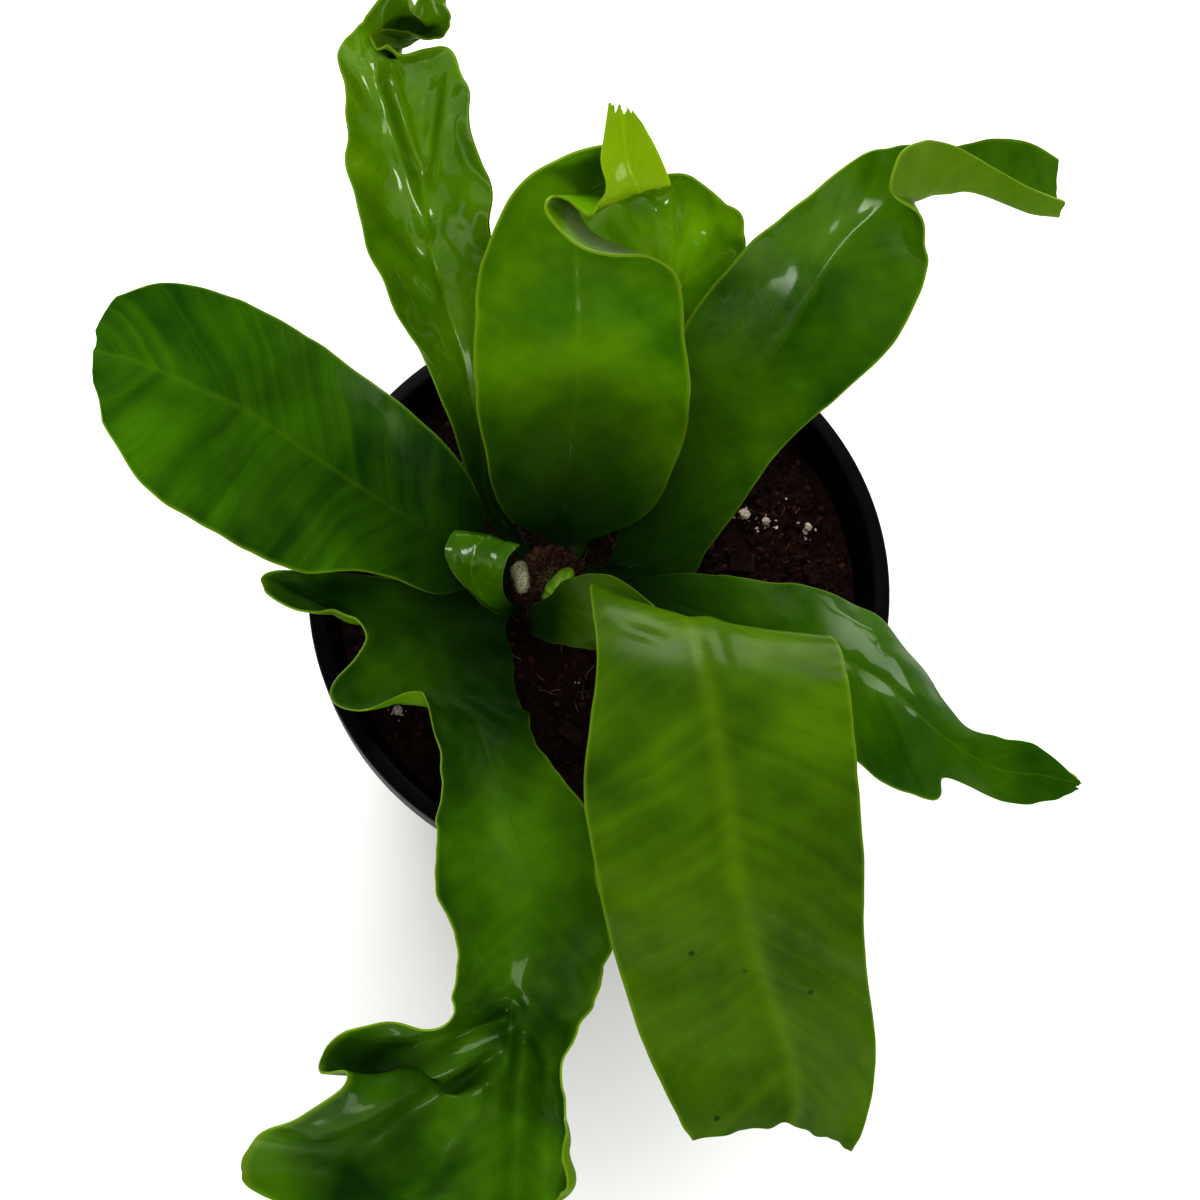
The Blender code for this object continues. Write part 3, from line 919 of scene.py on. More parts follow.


def tissue_colour(tree, cloud, streaks, solid, away, along, deep, fresh, rib, edge, rib_width,
                  rib_strength, veins, specks, painted_shade_mm, painted_backlight_mm):
    """Everything that tints the leaf, from the midrib to the margin and the crown to the tip, with
    painted shade near the crown and painted light in a thin tip.
    """
    patch = add(tree, "MapRange", {"Value": cloud.outputs["Fac"]},
                {"From Min": 0.28, "From Max": 0.68})
    band = add(tree, "MapRange", {"Value": streaks[0]},
               {"To Min": -0.35 * veins, "To Max": 0.35 * veins})
    tone = add(tree, "Math", {0: patch.outputs[0], 1: band.outputs[0]}, operation="ADD",
               use_clamp=True)
    tissue = add(tree, "Mix", {0: tone.outputs[0]}, {6: linear(deep), 7: linear(fresh)},
                 data_type="RGBA").outputs[2]
    fine = add(tree, "MapRange", {"Value": streaks[1]}, {"To Min": 0.0, "To Max": 0.35 * veins})
    tissue = mixed(tree, fine.outputs[0], tissue, deep)
    middle = add(tree, "MapRange", {"Value": away},
                 {"From Min": 0.0, "From Max": rib_width, "To Min": rib_strength, "To Max": 0.0},
                 interpolation_type="SMOOTHSTEP")
    tissue = mixed(tree, middle.outputs[0], tissue, rib)
    rim = add(tree, "MapRange", {"Value": away},
              {"From Min": 0.965, "From Max": 1.0, "To Min": 0.0, "To Max": 0.5},
              interpolation_type="SMOOTHSTEP")
    tissue = mixed(tree, rim.outputs[0], tissue, edge)
    # Painted light: past this length the tissue is mixed towards pale yellow, for the daylight that
    # comes through the thin tip.
    if painted_backlight_mm:
        pale = add(tree, "MapRange", {"Value": along},
                   {"From Min": painted_backlight_mm, "From Max": painted_backlight_mm + 5.0, "To Min": 0.0,
                    "To Max": 0.6})
        tissue = mixed(tree, pale.outputs[0], tissue, "#96AE08")
    if specks:
        cells = add(tree, "TexVoronoi", {"Vector": solid}, {"Scale": 75.0})
        spot = add(tree, "MapRange", {"Value": cells.outputs["Distance"]},
                   {"From Min": 0.035, "From Max": 0.07, "To Min": specks, "To Max": 0.0})
        tissue = mixed(tree, spot.outputs[0], tissue, "#20300A")
    # Painted shade: near the crown the tissue is mixed towards nearly black-green, for the shade
    # that the other fronds cast there.
    reach = add(tree, "VectorMath", {0: solid}, {1: (*CROWN_AT, SOIL)}, operation="DISTANCE")
    low = add(tree, "MapRange", {"Value": reach.outputs["Value"]},
              {"From Min": PAINTED_SHADE_FROM_MM * MM, "From Max": painted_shade_mm * MM, "To Min": 0.95,
               "To Max": 0.0}, interpolation_type="SMOOTHSTEP")
    return mixed(tree, low.outputs[0], tissue, "#0A2600")


print("thin tip from", PAINTED_BACKLIGHT_FROM_MM, "mm")

# %% [markdown]
# The cuticle lies over it: a satin body, a clear coat only where the blade is wet, and the fine
# relief of the veins and the skin.

# %% Leaf skin
WET_FADE_MM = 8


def leaf_skin(tree, shader, cloud, drift, streaks, solid, along, shine, lumps, wet_mm, haze):
    """Roughness, relief and the wet coat."""
    polish = add(tree, "MapRange", {"Value": cloud.outputs["Fac"]},
                 {"From Min": 0.3, "From Max": 0.7, "To Min": 0.50 - 0.3 * shine,
                  "To Max": 0.62 - 0.3 * shine})
    tree.links.new(polish.outputs[0], shader.inputs["Roughness"])
    skin = add(tree, "TexNoise", {"Vector": solid}, {"Scale": 420.0, "Detail": 2.0})
    relief = add(tree, "Math", {0: streaks[1]}, {1: 0.25}, operation="MULTIPLY")
    relief = add(tree, "Math", {0: relief.outputs[0], 1: streaks[0]}, operation="ADD")
    relief = add(tree, "Math", {0: relief.outputs[0], 1: skin.outputs["Fac"]}, operation="ADD")
    if lumps:
        swell = add(tree, "TexNoise", {"Vector": solid}, {"Scale": 210.0, "Detail": 1.0})
        swell = add(tree, "Math", {0: swell.outputs["Fac"]}, {1: lumps}, operation="MULTIPLY")
        relief = add(tree, "Math", {0: relief.outputs[0], 1: swell.outputs[0]}, operation="ADD")
    bump = add(tree, "Bump", {"Height": relief.outputs[0]},
               {"Strength": 0.2, "Distance": 0.3 * MM})
    tree.links.new(bump.outputs[0], shader.inputs["Normal"])
    wet = add(tree, "MapRange", {"Value": drift.outputs["Fac"]},
              {"From Min": 0.42, "From Max": 0.58, "To Min": 0.35 * shine,
               "To Max": shine}).outputs[0]
    for start, end in ((wet_mm[0] - WET_FADE_MM, wet_mm[0]), (wet_mm[1] + WET_FADE_MM, wet_mm[1])):
        here = add(tree, "MapRange", {"Value": along}, {"From Min": start, "From Max": end},
                   interpolation_type="SMOOTHSTEP")
        wet = add(tree, "Math", {0: wet, 1: here.outputs[0]}, operation="MULTIPLY").outputs[0]
    tree.links.new(wet, shader.inputs["Coat Weight"])
    shader.inputs["Coat Roughness"].default_value = haze


print("a wet patch fades over", WET_FADE_MM, "mm")

# %% [markdown]
# A leaf material is the colour and the skin on one body that light can sink into.

# %% Leaf material
SINK_DEPTH = 1.5 * MM


def leaf_material(name, deep, fresh, rib, edge, shine=0.3, rib_width=0.05, rib_strength=0.6,
                  veins=0.5, specks=0.0, glow=0.05, painted_shade_mm=80.0, lumps=0.0,
                  painted_backlight_mm=0.0, wet_mm=(0, 400), haze=0.10):
    """Fern leaf: cuticle gloss over green tissue, with veins, midrib and margin."""
    material, tree, shader = new_material(name)
    solid, centred, away, along = blade_places(tree)
    drift = add(tree, "TexNoise", {"Vector": solid}, {"Scale": 40.0, "Detail": 2.0})
    cloud = add(tree, "TexNoise", {"Vector": solid}, {"Scale": 34.0, "Detail": 3.0,
                                                     "Roughness": 0.55})
    streaks = vein_streaks(tree, drift, centred, away, along)
    tissue = tissue_colour(tree, cloud, streaks, solid, away, along, deep, fresh, rib, edge,
                           rib_width, rib_strength, veins, specks, painted_shade_mm, painted_backlight_mm)
    tree.links.new(tissue, shader.inputs["Base Color"])
    leaf_skin(tree, shader, cloud, drift, streaks, solid, along, shine, lumps, wet_mm, haze)
    shader.inputs["Specular IOR Level"].default_value = 0.14
    shader.inputs["Subsurface Weight"].default_value = glow
    shader.inputs["Subsurface Radius"].default_value = (0.35, 1.0, 0.12)
    shader.inputs["Subsurface Scale"].default_value = SINK_DEPTH
    shader.inputs["IOR"].default_value = 1.42
    return material


print("light sinks", round(SINK_DEPTH / MM, 1), "mm into a leaf")

# %% [markdown]
# Each frond has its own finish.  Colours go from deep to fresh, then the midrib and the margin.
# Shine is how wet the blade is, and wet_mm is where along it the water lies.  painted_shade_mm is
# how far from the crown the painted shade reaches.

# %% Leaf finishes
LEAF = {
    # dark green, partly its leathery tissue and partly painted shade for a frond that lies low
    # under the others; wet only on its fan
    "deep": leaf_material("fern_leaf_deep_green", "#123600", "#4C7200", "#3A6200", "#708818",
                          shine=0.3, veins=0.15, rib_strength=0.4, wet_mm=(122, 168), lumps=3.0),
    # nearly matt, so that the side veins show most; its dark green is partly painted shade for a
    # frond that lies low
    "veined": leaf_material("fern_leaf_veined_green", "#1C4200", "#467000", "#507208", "#748C20",
                            shine=0.06, veins=0.6, rib_strength=0.35),
    # a pale, even, matt green
    "soft": leaf_material("fern_leaf_soft_green", "#386600", "#6C9600", "#70900A", "#8CA024",
                          shine=0.08, veins=0.2, rib_strength=0.2, painted_shade_mm=85.0),
    # plain green, wet where the blade folds
    "mid": leaf_material("fern_leaf_mid_green", "#284E00", "#567E00", "#507808", "#80961E",
                         shine=0.6, veins=0.15, rib_strength=0.25, painted_shade_mm=85.0,
                         wet_mm=(104, 124), lumps=6.0),
    # yellower, with a broad pale midrib, dark specks and a hazy sheen
    "bright": leaf_material("fern_leaf_bright_green", "#2E4A00", "#506E00", "#667C0C", "#70861C",
                            rib_width=0.14, rib_strength=0.3, veins=0.4, specks=0.9, shine=0.28,
                            painted_shade_mm=60.0, wet_mm=(35, 96), lumps=3.0, haze=0.22),
    # light green, with lumpy, broken shine over its outer part
    "wet": leaf_material("fern_leaf_wet_green", "#3C6600", "#6C9200", "#76940E", "#86A024",
                         shine=0.75, veins=0.2, rib_strength=0.3, lumps=6.0, painted_shade_mm=70.0,
                         wet_mm=(58, 400)),
    # dark green, with a short gloss just before the notch
    "glossy": leaf_material("fern_leaf_glossy_green", "#1E4400", "#446800", "#58760A", "#7C9624",
                            shine=0.5, veins=0.2, rib_strength=0.3, lumps=5.0, painted_shade_mm=60.0,
                            wet_mm=(74, 98)),
    # yellow-green that light shines through, wet all over
    "young": leaf_material("fern_leaf_young_green", "#628E00", "#8EB400", "#8CAC12", "#A0B834",
                           shine=1.0, veins=0.2, glow=0.3, painted_shade_mm=48.0, lumps=4.0),
    # mid green, with beads of shine along the roll
    "curl": leaf_material("fern_leaf_rolled_green", "#264A00", "#4C7200", "#5E7E0A", "#7C9428",
                          shine=0.8, veins=0.2, painted_shade_mm=28.0, lumps=8.0),
    # greyer and duller than any upper side
    "underside": leaf_material("fern_leaf_underside", "#44660A", "#648208", "#74901A", "#8CA030",
                               shine=0.1, veins=0.3, glow=0.2, painted_shade_mm=32.0),
    # an underside whose thin tip is painted pale yellow, for the daylight that comes through it
    "thin": leaf_material("fern_leaf_thin_tip_painted_backlight", "#3E600A", "#5C7C08", "#78901A", "#9CB030",
                          shine=0.2, veins=0.5, glow=0.4, painted_shade_mm=60.0,
                          painted_backlight_mm=PAINTED_BACKLIGHT_FROM_MM),
    # the cut edge of the leaf, a pale line round each blade
    "margin": leaf_material("fern_leaf_margin", "#5E7C10", "#6E881A", "#6E881A", "#6E881A",
                            shine=0.2, veins=0.0, glow=0.15, painted_shade_mm=60.0),
}
print(len(LEAF), "leaf finishes")

# %% [markdown]
# ## The fronds
# A frond is one sheet, and its shape is known where ribs cross it: left margin, midrib and
# right margin, looking from stalk to tip.  It could be cut from a plane and bent, but a real
# strap frond cups, banks and rolls at once, so we start from a flat grid, lay each row of it
# on a smooth curve between the ribs, round it with a subdivision modifier, and give it the
# thickness of a leaf.  The underside and the cut edge get finishes of their own.
#
# Small things bend the sheet too: a groove along the midrib, low swellings between the side
# veins, and margins that ripple every centimetre or two.

# %% Curves through the ribs
STALK_GAP = 1.1 * MM
STALK_HALF = 2 * MM


def stalk_foot(compass, height):
    """Where a stalk leaves the crown, as the first rib."""
    angle = math.radians(compass)
    reach = CROWN_RADIUS + STALK_GAP
    middle = Vector((CROWN_AT[0] + reach * math.cos(angle),
                     CROWN_AT[1] + reach * math.sin(angle), SOIL + height * MM))
    half = Vector((-math.sin(angle), math.cos(angle), 0)) * STALK_HALF
    return (middle + half, middle, middle - half)


def smooth_between(before, start, end, after, share):
    """A point on the smooth curve that runs through start and end."""
    square, cube = share ** 2, share ** 3
    return 0.5 * (2 * start + (end - before) * share
                  + (2 * before - 5 * start + 4 * end - after) * square
                  + (3 * start - before - 3 * end + after) * cube)


def across_blade(left, middle, right, share):
    """A point on the parabola through the two margins and the midrib."""
    return (left * (1 - share) * (1 - 2 * share) + middle * 4 * share * (1 - share)
            + right * share * (2 * share - 1))


print("a stalk is", round(2 * STALK_HALF / MM), "mm wide at its foot")

# %% [markdown]
# Every step along the curves lays one row of points, so a blade turns smoothly through its ribs
# however far apart they stand.

# %% Rows of the sheet
COLUMNS = 30                      # grid faces across a blade, before it is rounded
ROWS = 8                          # grid faces between two ribs


def blade_rows(compass, height, ribs):
    """Rows of points over the whole frond, stalk to tip, margin to margin."""
    spread = [stalk_foot(compass, height)]
    spread += [tuple(Vector((x * MM, y * MM, SOIL + z * MM)) for x, y, z in rib)
               for rib in ribs]
    rows = []
    for number in range(len(spread) - 1):
        around = [spread[max(number - 1, 0)], spread[number], spread[number + 1],
                  spread[min(number + 2, len(spread) - 1)]]
        for step in range(ROWS):
            left, middle, right = (smooth_between(*(rib[part] for rib in around), step / ROWS)
                                   for part in range(3))
            rows.append([across_blade(left, middle, right, column / COLUMNS)
                         for column in range(COLUMNS + 1)])
    left, middle, right = spread[-1]
    rows.append([across_blade(left, middle, right, column / COLUMNS)
                 for column in range(COLUMNS + 1)])
    return rows


print(COLUMNS, "faces across a blade,", ROWS, "between two ribs")

# %% [markdown]
# A crease is a straight ridge or furrow, with soft sides and ends.

# %% Creases
def smooth_step(low, high, value):
    """From 0 at low to 1 at high, with soft ends."""
    share = min(max((value - low) / (high - low), 0), 1)
    return share * share * (3 - 2 * share)


def crease_height(point, creases):
    """The ridges (up) and furrows (down) of a sheet at one point, seen from above."""
    height = 0.0
    place = Vector((point.x, point.y)) / MM
    for start, end, wide, tall in creases:
        start, end = Vector(start), Vector(end)
        share = (place - start).dot(end - start) / (end - start).length_squared
        nearest = start + (end - start) * min(max(share, 0), 1)
        height += tall * math.exp(-((place - nearest).length / wide) ** 2)
    return height


print("half way up, a soft step is at", smooth_step(0, 1, 0.5))

# %% [markdown]
# Now the sheet is bent along its own normal: the groove, the swellings between the veins, the
# crumple, the ripples that grow towards the margins, and the creases.  A margin is also a
# little ragged, and a tip a little torn.  The bending stops short of the stalk, which is too
# narrow and too stiff.

# %% Bending the sheet
RIPPLES_MM = (21, 11)             # length of a margin's long wave and of its short one
QUILT_MM = 6.5                    # from one swelling between veins to the next
GROOVE_SHARE = 0.09               # how far out the midrib's groove goes, of half the blade


def bend_sheet(rows, frill, quilt, groove, crumple, ragged, torn, creases, seed):
    """Push each point along the sheet's normal, and the margins a little in the sheet."""
    bent, travelled = [], 0.0
    for number, row in enumerate(rows):
        ahead = rows[min(number + 1, len(rows) - 1)]
        behind = rows[max(number - 1, 0)]
        middle = len(row) // 2
        if number:
            travelled += (row[middle] - behind[middle]).length / MM
        width = (row[0] - row[middle]).length + (row[-1] - row[middle]).length
        grown = smooth_step(6 * MM, 30 * MM, width)
        tip = smooth_step(len(rows) - 1 - ROWS, len(rows) - 1, number)
        new_row = []
        for column, point in enumerate(row):
            across = row[min(column + 1, COLUMNS)] - row[max(column - 1, 0)]
            normal = (ahead[column] - behind[column]).cross(across)
            normal = -normal.normalized() if normal.length else Vector((0, 0, 1))
            side = 2 * column / COLUMNS - 1
            away = abs(side)
            hand = 1 if side > 0 else -1
            height = -groove * math.exp(-(away / GROOVE_SHARE) ** 2)
            swell = noise.noise(Vector(((travelled - 19 * away) / QUILT_MM, 3 * hand, seed)))
            height += 2 * quilt * swell * smooth_step(0.05, 0.3, away)
            height += crumple * (0.3 - abs(noise.noise(point * 85 + Vector((0, seed, 0))))) * 2
            wave = math.sin(math.tau * travelled / RIPPLES_MM[0] + seed + hand)
            wave += 0.5 * math.sin(math.tau * travelled / RIPPLES_MM[1] + 2 * seed * hand)
            height += frill * wave * smooth_step(0.45, 1.0, away) ** 2
            height += 2.5 * quilt * noise.noise(point * 90 + Vector((seed, 0, 0)))
            height += crease_height(point, creases)
            inward = ragged * noise.fractal(Vector((travelled / 5, 7 * hand, seed)), 0.8, 2.1, 3)
            forward = torn * noise.fractal(Vector((away * 3.5, 3 * hand, seed)), 0.6, 2.2, 3)
            new_row.append(point + normal * height * grown * MM
                           - across.normalized() * hand * inward * MM
                           * smooth_step(0.6, 1.0, away)
                           + (point - behind[column]).normalized() * forward * tip * MM)
        bent.append(new_row)
    return bent


print("the margins ripple every", RIPPLES_MM, "mm")

# %% [markdown]
# The bent rows become one mesh, with the map its leaf finish reads, and then get a leaf's
# thickness: the upper side, the underside and the cut edge each have their own finish.

# %% From sheet to frond
LEAF_THICK = 0.55 * MM


def make_frond(name, compass, height, ribs, finish="mid", frill=0.7, quilt=0.22, groove=0.5,
               crumple=0.1, ragged=0.3, torn=0.8, creases=(), under="underside"):
    """A blade from a flat grid: rows laid on the ribs, rounded, thickened and mapped."""
    rows = blade_rows(compass, height, ribs)
    rows = bend_sheet(rows, frill, quilt, groove, crumple, ragged, torn, creases,
                      len(name) + compass)
    frond = lay_grid(name + "_blade", rows)
    mesh = frond.data
    lengths = [0.0]
    for near, far in zip(rows, rows[1:]):
        lengths.append(lengths[-1] + (far[COLUMNS // 2] - near[COLUMNS // 2]).length)
    blade_map = mesh.uv_layers[0]
    blade_map.name = "blade"
    for loop in mesh.loops:
        row, column = divmod(loop.vertex_index, COLUMNS + 1)
        blade_map.data[loop.index].uv = (column / COLUMNS, lengths[row] / MAP_LENGTH)
    for part in (finish, under, "margin"):
        mesh.materials.append(LEAF[part])
    apply_modifier(frond, "SUBSURF", levels=1, render_levels=1, boundary_smooth="PRESERVE_CORNERS")
    apply_modifier(frond, "SOLIDIFY", thickness=LEAF_THICK, offset=0, use_even_offset=False,
                   material_offset=1, material_offset_rim=2)
    seat(frond, [name], angle=60)


print("a blade is", round(LEAF_THICK / MM, 2), "mm thick")

# %% [markdown]
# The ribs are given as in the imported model, in millimetres right of the pot's axis, behind it and
# above the soil.  Folded and ruffled tips have more of them here, because a thin sheet shows
# finer shapes than a solid.  Before the ribs stand the direction in which the stalk leaves the
# crown, in degrees from +X, and how high on the crown that is.  After them stands what is
# particular to the frond.  A crease is its two ends seen from above, its width and its height.

# %% [markdown]
# The back-left frond is the tallest, and wet over most of its length.  It climbs steeply, and its
# tip is crumpled over in an S, so several ribs stand close together there.  Its creases run down
# from the corners to the midrib, and each one catches a thread of light.

# %% Frond: back left
make_frond("frond_back_left", 138, 3, [
    ((-34, 14, 16), (-32, 16, 13), (-30, 18, 16)),
    ((-40, 24, 27), (-36, 29, 23), (-32, 31, 27)),
    ((-50, 38, 46), (-43, 45, 40), (-36, 46, 45)),
    ((-62, 49, 66), (-51, 58, 60), (-37, 58, 66)),
    ((-71, 63, 86), (-56, 70, 80), (-39, 66, 86)),
    ((-73, 74, 100), (-60, 79, 94), (-45, 78, 100)),
    ((-75, 82, 108), (-63, 84, 101), (-47, 83, 108)),
    ((-75, 86, 112), (-64, 86, 105), (-51, 89, 112)),
    ((-72, 88, 116), (-65, 87, 107), (-56, 87, 114)),
    ((-70, 90, 120), (-64, 90, 103), (-61, 84, 115)),
    ((-66, 93, 126), (-63, 94, 104), (-65, 84, 114)),
    ((-62, 94, 128), (-60, 95, 104), (-68, 86, 113)),
    ((-60, 91, 121), (-58, 95, 106), (-69, 88, 114)),
    ((-57, 93, 127), (-56, 94, 108), (-68, 89, 114)),
    ((-53, 93, 128), (-54, 92, 112), (-66, 91, 113)),
], finish="wet", frill=0.7, quilt=0.25, crumple=0.5, ragged=0.5, torn=1.5, creases=[
    ((-68, 84), (-54, 64), 1.6, 1.6), ((-65, 84), (-56, 70), 1.8, -1.6),
    ((-68, 60), (-51, 55), 1.6, 1.3), ((-54, 66), (-44, 66), 2.0, 1.2),
    ((-54, 83), (-55, 72), 1.6, -1.5), ((-64, 64), (-56, 60), 1.8, -1.0),
    ((-50, 84), (-52, 76), 1.4, 1.4)])

# %% [markdown]
# The back-centre frond stands in the middle like a shield.  Its tip twists forward over the blade
# and ends in a thin, torn flap, which shows the underside, painted pale yellow where daylight
# comes through it.

# %% Frond: back centre
make_frond("frond_back_centre", 84, 5, [
    ((-27, 11, 24), (-12, 17, 15), (9, 16, 24)),
    ((-34, 23, 42), (-13, 31, 28), (15, 31, 42)),
    ((-37, 31, 62), (-13, 41, 46), (14, 38, 60)),
    ((-38, 39, 78), (-15, 50, 62), (10, 48, 74)),
    ((-38, 47, 88), (-17, 59, 72), (7, 54, 86)),
    ((-37, 52, 93), (-18, 62, 80), (0, 54, 94)),
    ((-35, 56, 97), (-20, 66, 82), (-9, 51, 99)),
    ((-33, 61, 100), (-20, 69, 84), (-17, 51, 103)),
    ((-30, 65, 102), (-18, 71, 86), (-24, 56, 105)),
    ((-25, 69, 104), (-16, 72, 88), (-24, 60, 105)),
    ((-19, 73, 105), (-13, 73, 90), (-20, 61, 103)),
    ((-12, 75, 105), (-9, 71, 94), (-15, 58, 104)),
    ((-3, 73, 103), (-5, 68, 99), (-13, 60, 106)),
    ((2, 67, 106), (-5, 65, 106), (-12, 63, 108)),
    ((-1, 71, 110), (-8, 68, 112), (-14, 68, 111)),
    ((-5, 75, 114), (-10, 73, 116), (-14, 73, 114)),
    ((-8, 77, 118), (-11, 77, 119), (-14, 78, 117)),
], finish="soft", frill=0.25, quilt=0.1, groove=0.9, ragged=0.15, torn=2.0, under="thin")

# %% [markdown]
# Behind it hides a young bright frond, cupped like a spoon, with puckers that spread from the
# middle of the cup.

# %% Frond: back
make_frond("frond_back", 58, 1, [
    ((-7, 29, 12), (-4, 30, 10), (0, 30, 12)),
    ((-10, 44, 30), (0, 48, 28), (9, 47, 30)),
    ((-14, 56, 46), (3, 61, 43), (20, 60, 46)),
    ((-18, 64, 56), (5, 70, 51), (24, 69, 56)),
    ((-22, 69, 63), (5, 77, 55), (23, 73, 62)),
    ((-23, 73, 68), (4, 81, 57), (22, 75, 67)),
    ((-21, 78, 70), (3, 85, 60), (20, 78, 70)),
    ((-16, 82, 72), (3, 87, 65), (16, 80, 73)),
    ((-9, 84, 73), (4, 87, 70), (13, 82, 75)),
    ((0, 84, 75), (5, 86, 74), (10, 83, 76)),
], finish="young", frill=0.7, quilt=0.3, crumple=0.7, ragged=0.3, creases=[
    ((4, 66), (-8, 78), 1.6, 0.9), ((5, 66), (0, 82), 1.5, -0.8), ((6, 66), (8, 84), 1.6, 0.9),
    ((8, 66), (14, 80), 1.5, -0.8), ((9, 68), (20, 76), 1.6, 0.8)])

# %% [markdown]
# The back-right frond leans out over the rim.  Near its end it folds over, and a narrow tail goes
# on to the right.

# %% Frond: back right
make_frond("frond_back_right", 27, 3, [
    ((1, 6, 8), (10, 7, 7), (21, 5, 9)),
    ((3, 14, 14), (13, 15, 11), (26, 12, 14)),
    ((6, 22, 22), (18, 25, 18), (33, 24, 22)),
    ((8, 36, 32), (24, 38, 27), (40, 36, 32)),
    ((10, 54, 50), (32, 51, 42), (49, 44, 46)),
    ((20, 69, 66), (40, 66, 58), (61, 56, 60)),
    ((31, 79, 78), (45, 77, 68), (66, 70, 70)),
    ((42, 89, 84), (53, 84, 76), (64, 75, 79)),
    ((47, 94, 84), (57, 88, 79), (61, 79, 86)),
    ((52, 96, 84), (61, 86, 81), (52, 80, 94)),
    ((57, 98, 83), (64, 87, 82), (53, 88, 97)),
    ((63, 99, 81), (68, 89, 80), (59, 94, 94)),
    ((69, 102, 79), (73, 92, 77), (67, 97, 88)),
    ((78, 107, 76), (81, 94, 71), (77, 97, 81)),
    ((87, 110, 71), (90, 95, 65), (87, 97, 74)),
    ((96, 110, 65), (98, 98, 60), (98, 98, 67)),
], finish="mid", frill=0.25, quilt=0.18, crumple=0.15, ragged=0.2, creases=[
    ((30, 52), (52, 84), 3.0, -0.8), ((44, 66), (58, 62), 2.5, 0.9)])

# %% [markdown]
# The left frond is the plainest: a wide flat strap whose side veins show most.

# %% Frond: left
make_frond("frond_left", 172, 4, [
    ((-33, -7, 12), (-31, 0, 11), (-30, 7, 14)),
    ((-42, -12, 20), (-42, 3, 20), (-34, 14, 27)),
    ((-56, -12, 32), (-55, 6, 30), (-45, 22, 42)),
    ((-72, -18, 44), (-72, 10, 46), (-65, 30, 56)),
    ((-86, -17, 56), (-87, 14, 60), (-82, 35, 68)),
    ((-98, -14, 64), (-99, 15, 70), (-97, 37, 76)),
    ((-108, -10, 72), (-112, 17, 76), (-110, 36, 80)),
    ((-117, 1, 78), (-123, 17, 80), (-120, 30, 82)),
], finish="veined", frill=0.4, quilt=0.18, ragged=0.2)

# %% [markdown]
# The front-left frond is the odd one.  Near its foot it has two side lobes, then it narrows to a
# neck, and its tip spreads into a ruffled fan with deep furrows.

# %% Frond: front left
make_frond("frond_front_left", 212, 1, [
    ((-22, -8, 7), (-38, -10, 9), (-76, -14, 30)),
    ((-22, -12, 7), (-44, -16, 11), (-81, -21, 32)),
    ((-22, -15, 8), (-44, -20, 12), (-72, -24, 30)),
    ((-21, -19, 8), (-40, -23, 12), (-60, -23, 26)),
    ((-19, -23, 8), (-38, -27, 13), (-56, -29, 24)),
    ((-18, -28, 9), (-36, -33, 14), (-62, -42, 24)),
    ((-16, -34, 12), (-33, -37, 15), (-54, -45, 22)),
    ((-13, -38, 14), (-26, -42, 16), (-40, -38, 20)),
    ((-8, -49, 24), (-19, -54, 19), (-32, -56, 24)),
    ((5, -62, 30), (-12, -68, 22), (-30, -70, 28)),
    ((10, -78, 36), (-5, -82, 25), (-28, -85, 32)),
    ((15, -94, 38), (-3, -95, 25), (-22, -97, 32)),
    ((15, -101, 39), (-4, -103, 27), (-19, -107, 35)),
    ((13, -108, 41), (-5, -110, 29), (-19, -114, 38)),
    ((11, -113, 41), (-5, -115, 30), (-24, -118, 41)),
    ((10, -118, 40), (-5, -119, 30), (-33, -120, 44)),
    ((9, -123, 38), (-5, -124, 29), (-42, -124, 45)),
    ((9, -128, 37), (-4, -129, 28), (-47, -132, 38)),
    ((10, -131, 36), (-4, -133, 28), (-40, -134, 46)),
    ((11, -135, 35), (-3, -137, 27), (-51, -144, 40)),
    ((12, -139, 33), (-2, -142, 26), (-59, -150, 34)),
    ((12, -144, 30), (0, -147, 24), (-61, -158, 30)),
    ((13, -150, 27), (3, -152, 22), (-56, -162, 28)),
    ((12, -154, 24), (0, -158, 21), (-40, -163, 24)),
    ((10, -158, 21), (-5, -162, 20), (-24, -165, 21)),
], finish="deep", frill=0.7, quilt=0.25, groove=0.3, crumple=0.5, ragged=0.8, torn=2.0, creases=[
    ((-6, -110), (-30, -122), 2.2, 1.8), ((-6, -114), (-34, -130), 2.2, -2.0),
    ((-8, -119), (-46, -146), 2.8, 3.2), ((-8, -124), (-36, -152), 2.4, -3.0),
    ((-6, -124), (-24, -162), 2.8, 2.8), ((-4, -112), (-5, -134), 1.6, 1.8),
    ((-2, -120), (3, -160), 2.8, -3.4), ((6, -124), (9, -156), 2.4, 1.6),
    ((-80, -18), (-62, -24), 0.9, 1.4), ((-78, -17), (-60, -22), 0.8, -1.3),
    ((-77, -15), (-60, -19), 0.9, 1.2)])

# %% [markdown]
# The front frond rises, rolls over a crest and hangs to the front.  It is a broad old blade, with
# dark specks and a torn end.

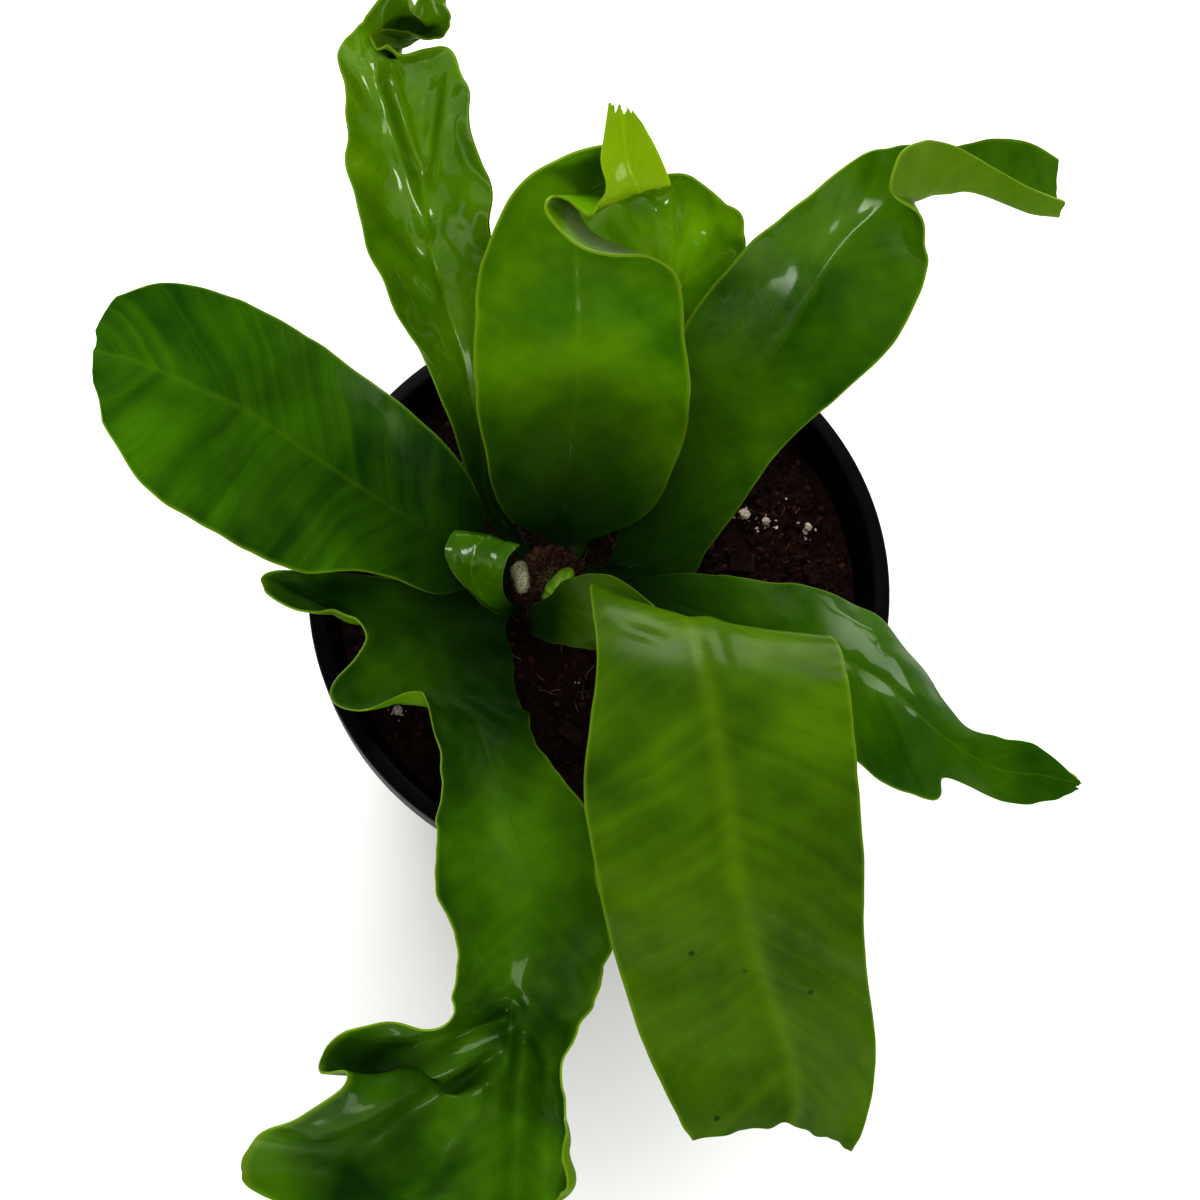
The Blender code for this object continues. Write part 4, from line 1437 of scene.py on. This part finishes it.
# %% Frond: front
make_frond("frond_front", 262, 3, [
    ((-17, -11, 16), (-16, -13, 14), (-16, -16, 12)),
    ((-12, -10, 27), (-11, -14, 22), (-11, -20, 20)),
    ((-8, -8, 38), (-7, -14, 32), (-6, -22, 28)),
    ((4, -8, 46), (3, -17, 42), (2, -24, 36)),
    ((26, -21, 48), (15, -19, 44), (5, -22, 42)),
    ((48, -21, 62), (22, -20, 59), (1, -18, 57)),
    ((55, -22, 71), (21, -22, 69), (-2, -17, 68)),
    ((59, -34, 76), (27, -37, 74), (2, -37, 75)),
    ((63, -51, 74), (34, -58, 72), (3, -63, 72)),
    ((68, -70, 66), (40, -77, 66), (8, -80, 68)),
    ((72, -89, 56), (47, -93, 56), (15, -97, 58)),
    ((79, -110, 44), (58, -111, 44), (26, -117, 46)),
    ((80, -125, 34), (63, -123, 36), (37, -132, 38)),
    ((78, -133, 28), (63, -129, 32), (41, -136, 34)),
], finish="bright", frill=0.5, quilt=0.12, crumple=0.15, ragged=0.3, torn=1.6, creases=[
    ((3, -12), (17, -17), 1.6, -1.1), ((-2, -24), (17, -29), 1.3, -1.2),
    ((25, -18), (30, -34), 2.4, 0.9)])

# %% [markdown]
# The right frond lies low over the rim, with its halves sloping down like a roof, and ends in a
# notch and a short tail.

# %% Frond: right
make_frond("frond_right", 355, 1, [
    ((5, 2, 6), (7, -1, 6), (8, -4, 6)),
    ((21, 6, 11), (24, -3, 10), (27, -11, 11)),
    ((38, 6, 14), (44, -9, 16), (48, -25, 16)),
    ((55, 5, 17), (60, -13, 23), (64, -35, 22)),
    ((71, -1, 20), (74, -20, 29), (77, -44, 26)),
    ((84, -14, 24), (84, -28, 31), (89, -46, 26)),
    ((93, -26, 26), (93, -33, 30), (91, -40, 26)),
    ((104, -28, 26), (104, -36, 26), (107, -43, 22)),
    ((114, -28, 22), (116, -35, 22), (118, -41, 20)),
    ((125, -34, 20), (126, -35, 19), (125, -37, 18)),
], finish="glossy", frill=0.5, quilt=0.2, crumple=0.6, ragged=0.5, torn=1.5)

# %% [markdown]
# The youngest blade is still a short rolled strap, folded lengthwise, beside the buds.

# %% Frond: young
make_frond("frond_young", 232, 5, [
    ((-23, -13, 12), (-22, -11, 11), (-21, -10, 13)),
    ((-29, -12, 19), (-26, -12, 15), (-23, -10, 19)),
    ((-34, -10, 27), (-30, -10, 23), (-24, -9, 27)),
    ((-38, -7, 33), (-32, -8, 30), (-24, -7, 34)),
    ((-39, -4, 37), (-32, -5, 36), (-23, -4, 38)),
    ((-37, 0, 37), (-30, -1, 39), (-21, -1, 37)),
    ((-35, 2, 31), (-29, 1, 34), (-23, 0, 31)),
], finish="curl", frill=0.3, quilt=0.1, crumple=0.3, ragged=0.1, creases=[
    ((-31, -12), (-37, -1), 0.9, 0.9), ((-28, -12), (-33, 0), 0.8, -0.8),
    ((-26, -11), (-29, 1), 0.8, 0.9), ((-23, -10), (-25, 1), 0.8, -0.7)])

# %% Sizes and finish
low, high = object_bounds()
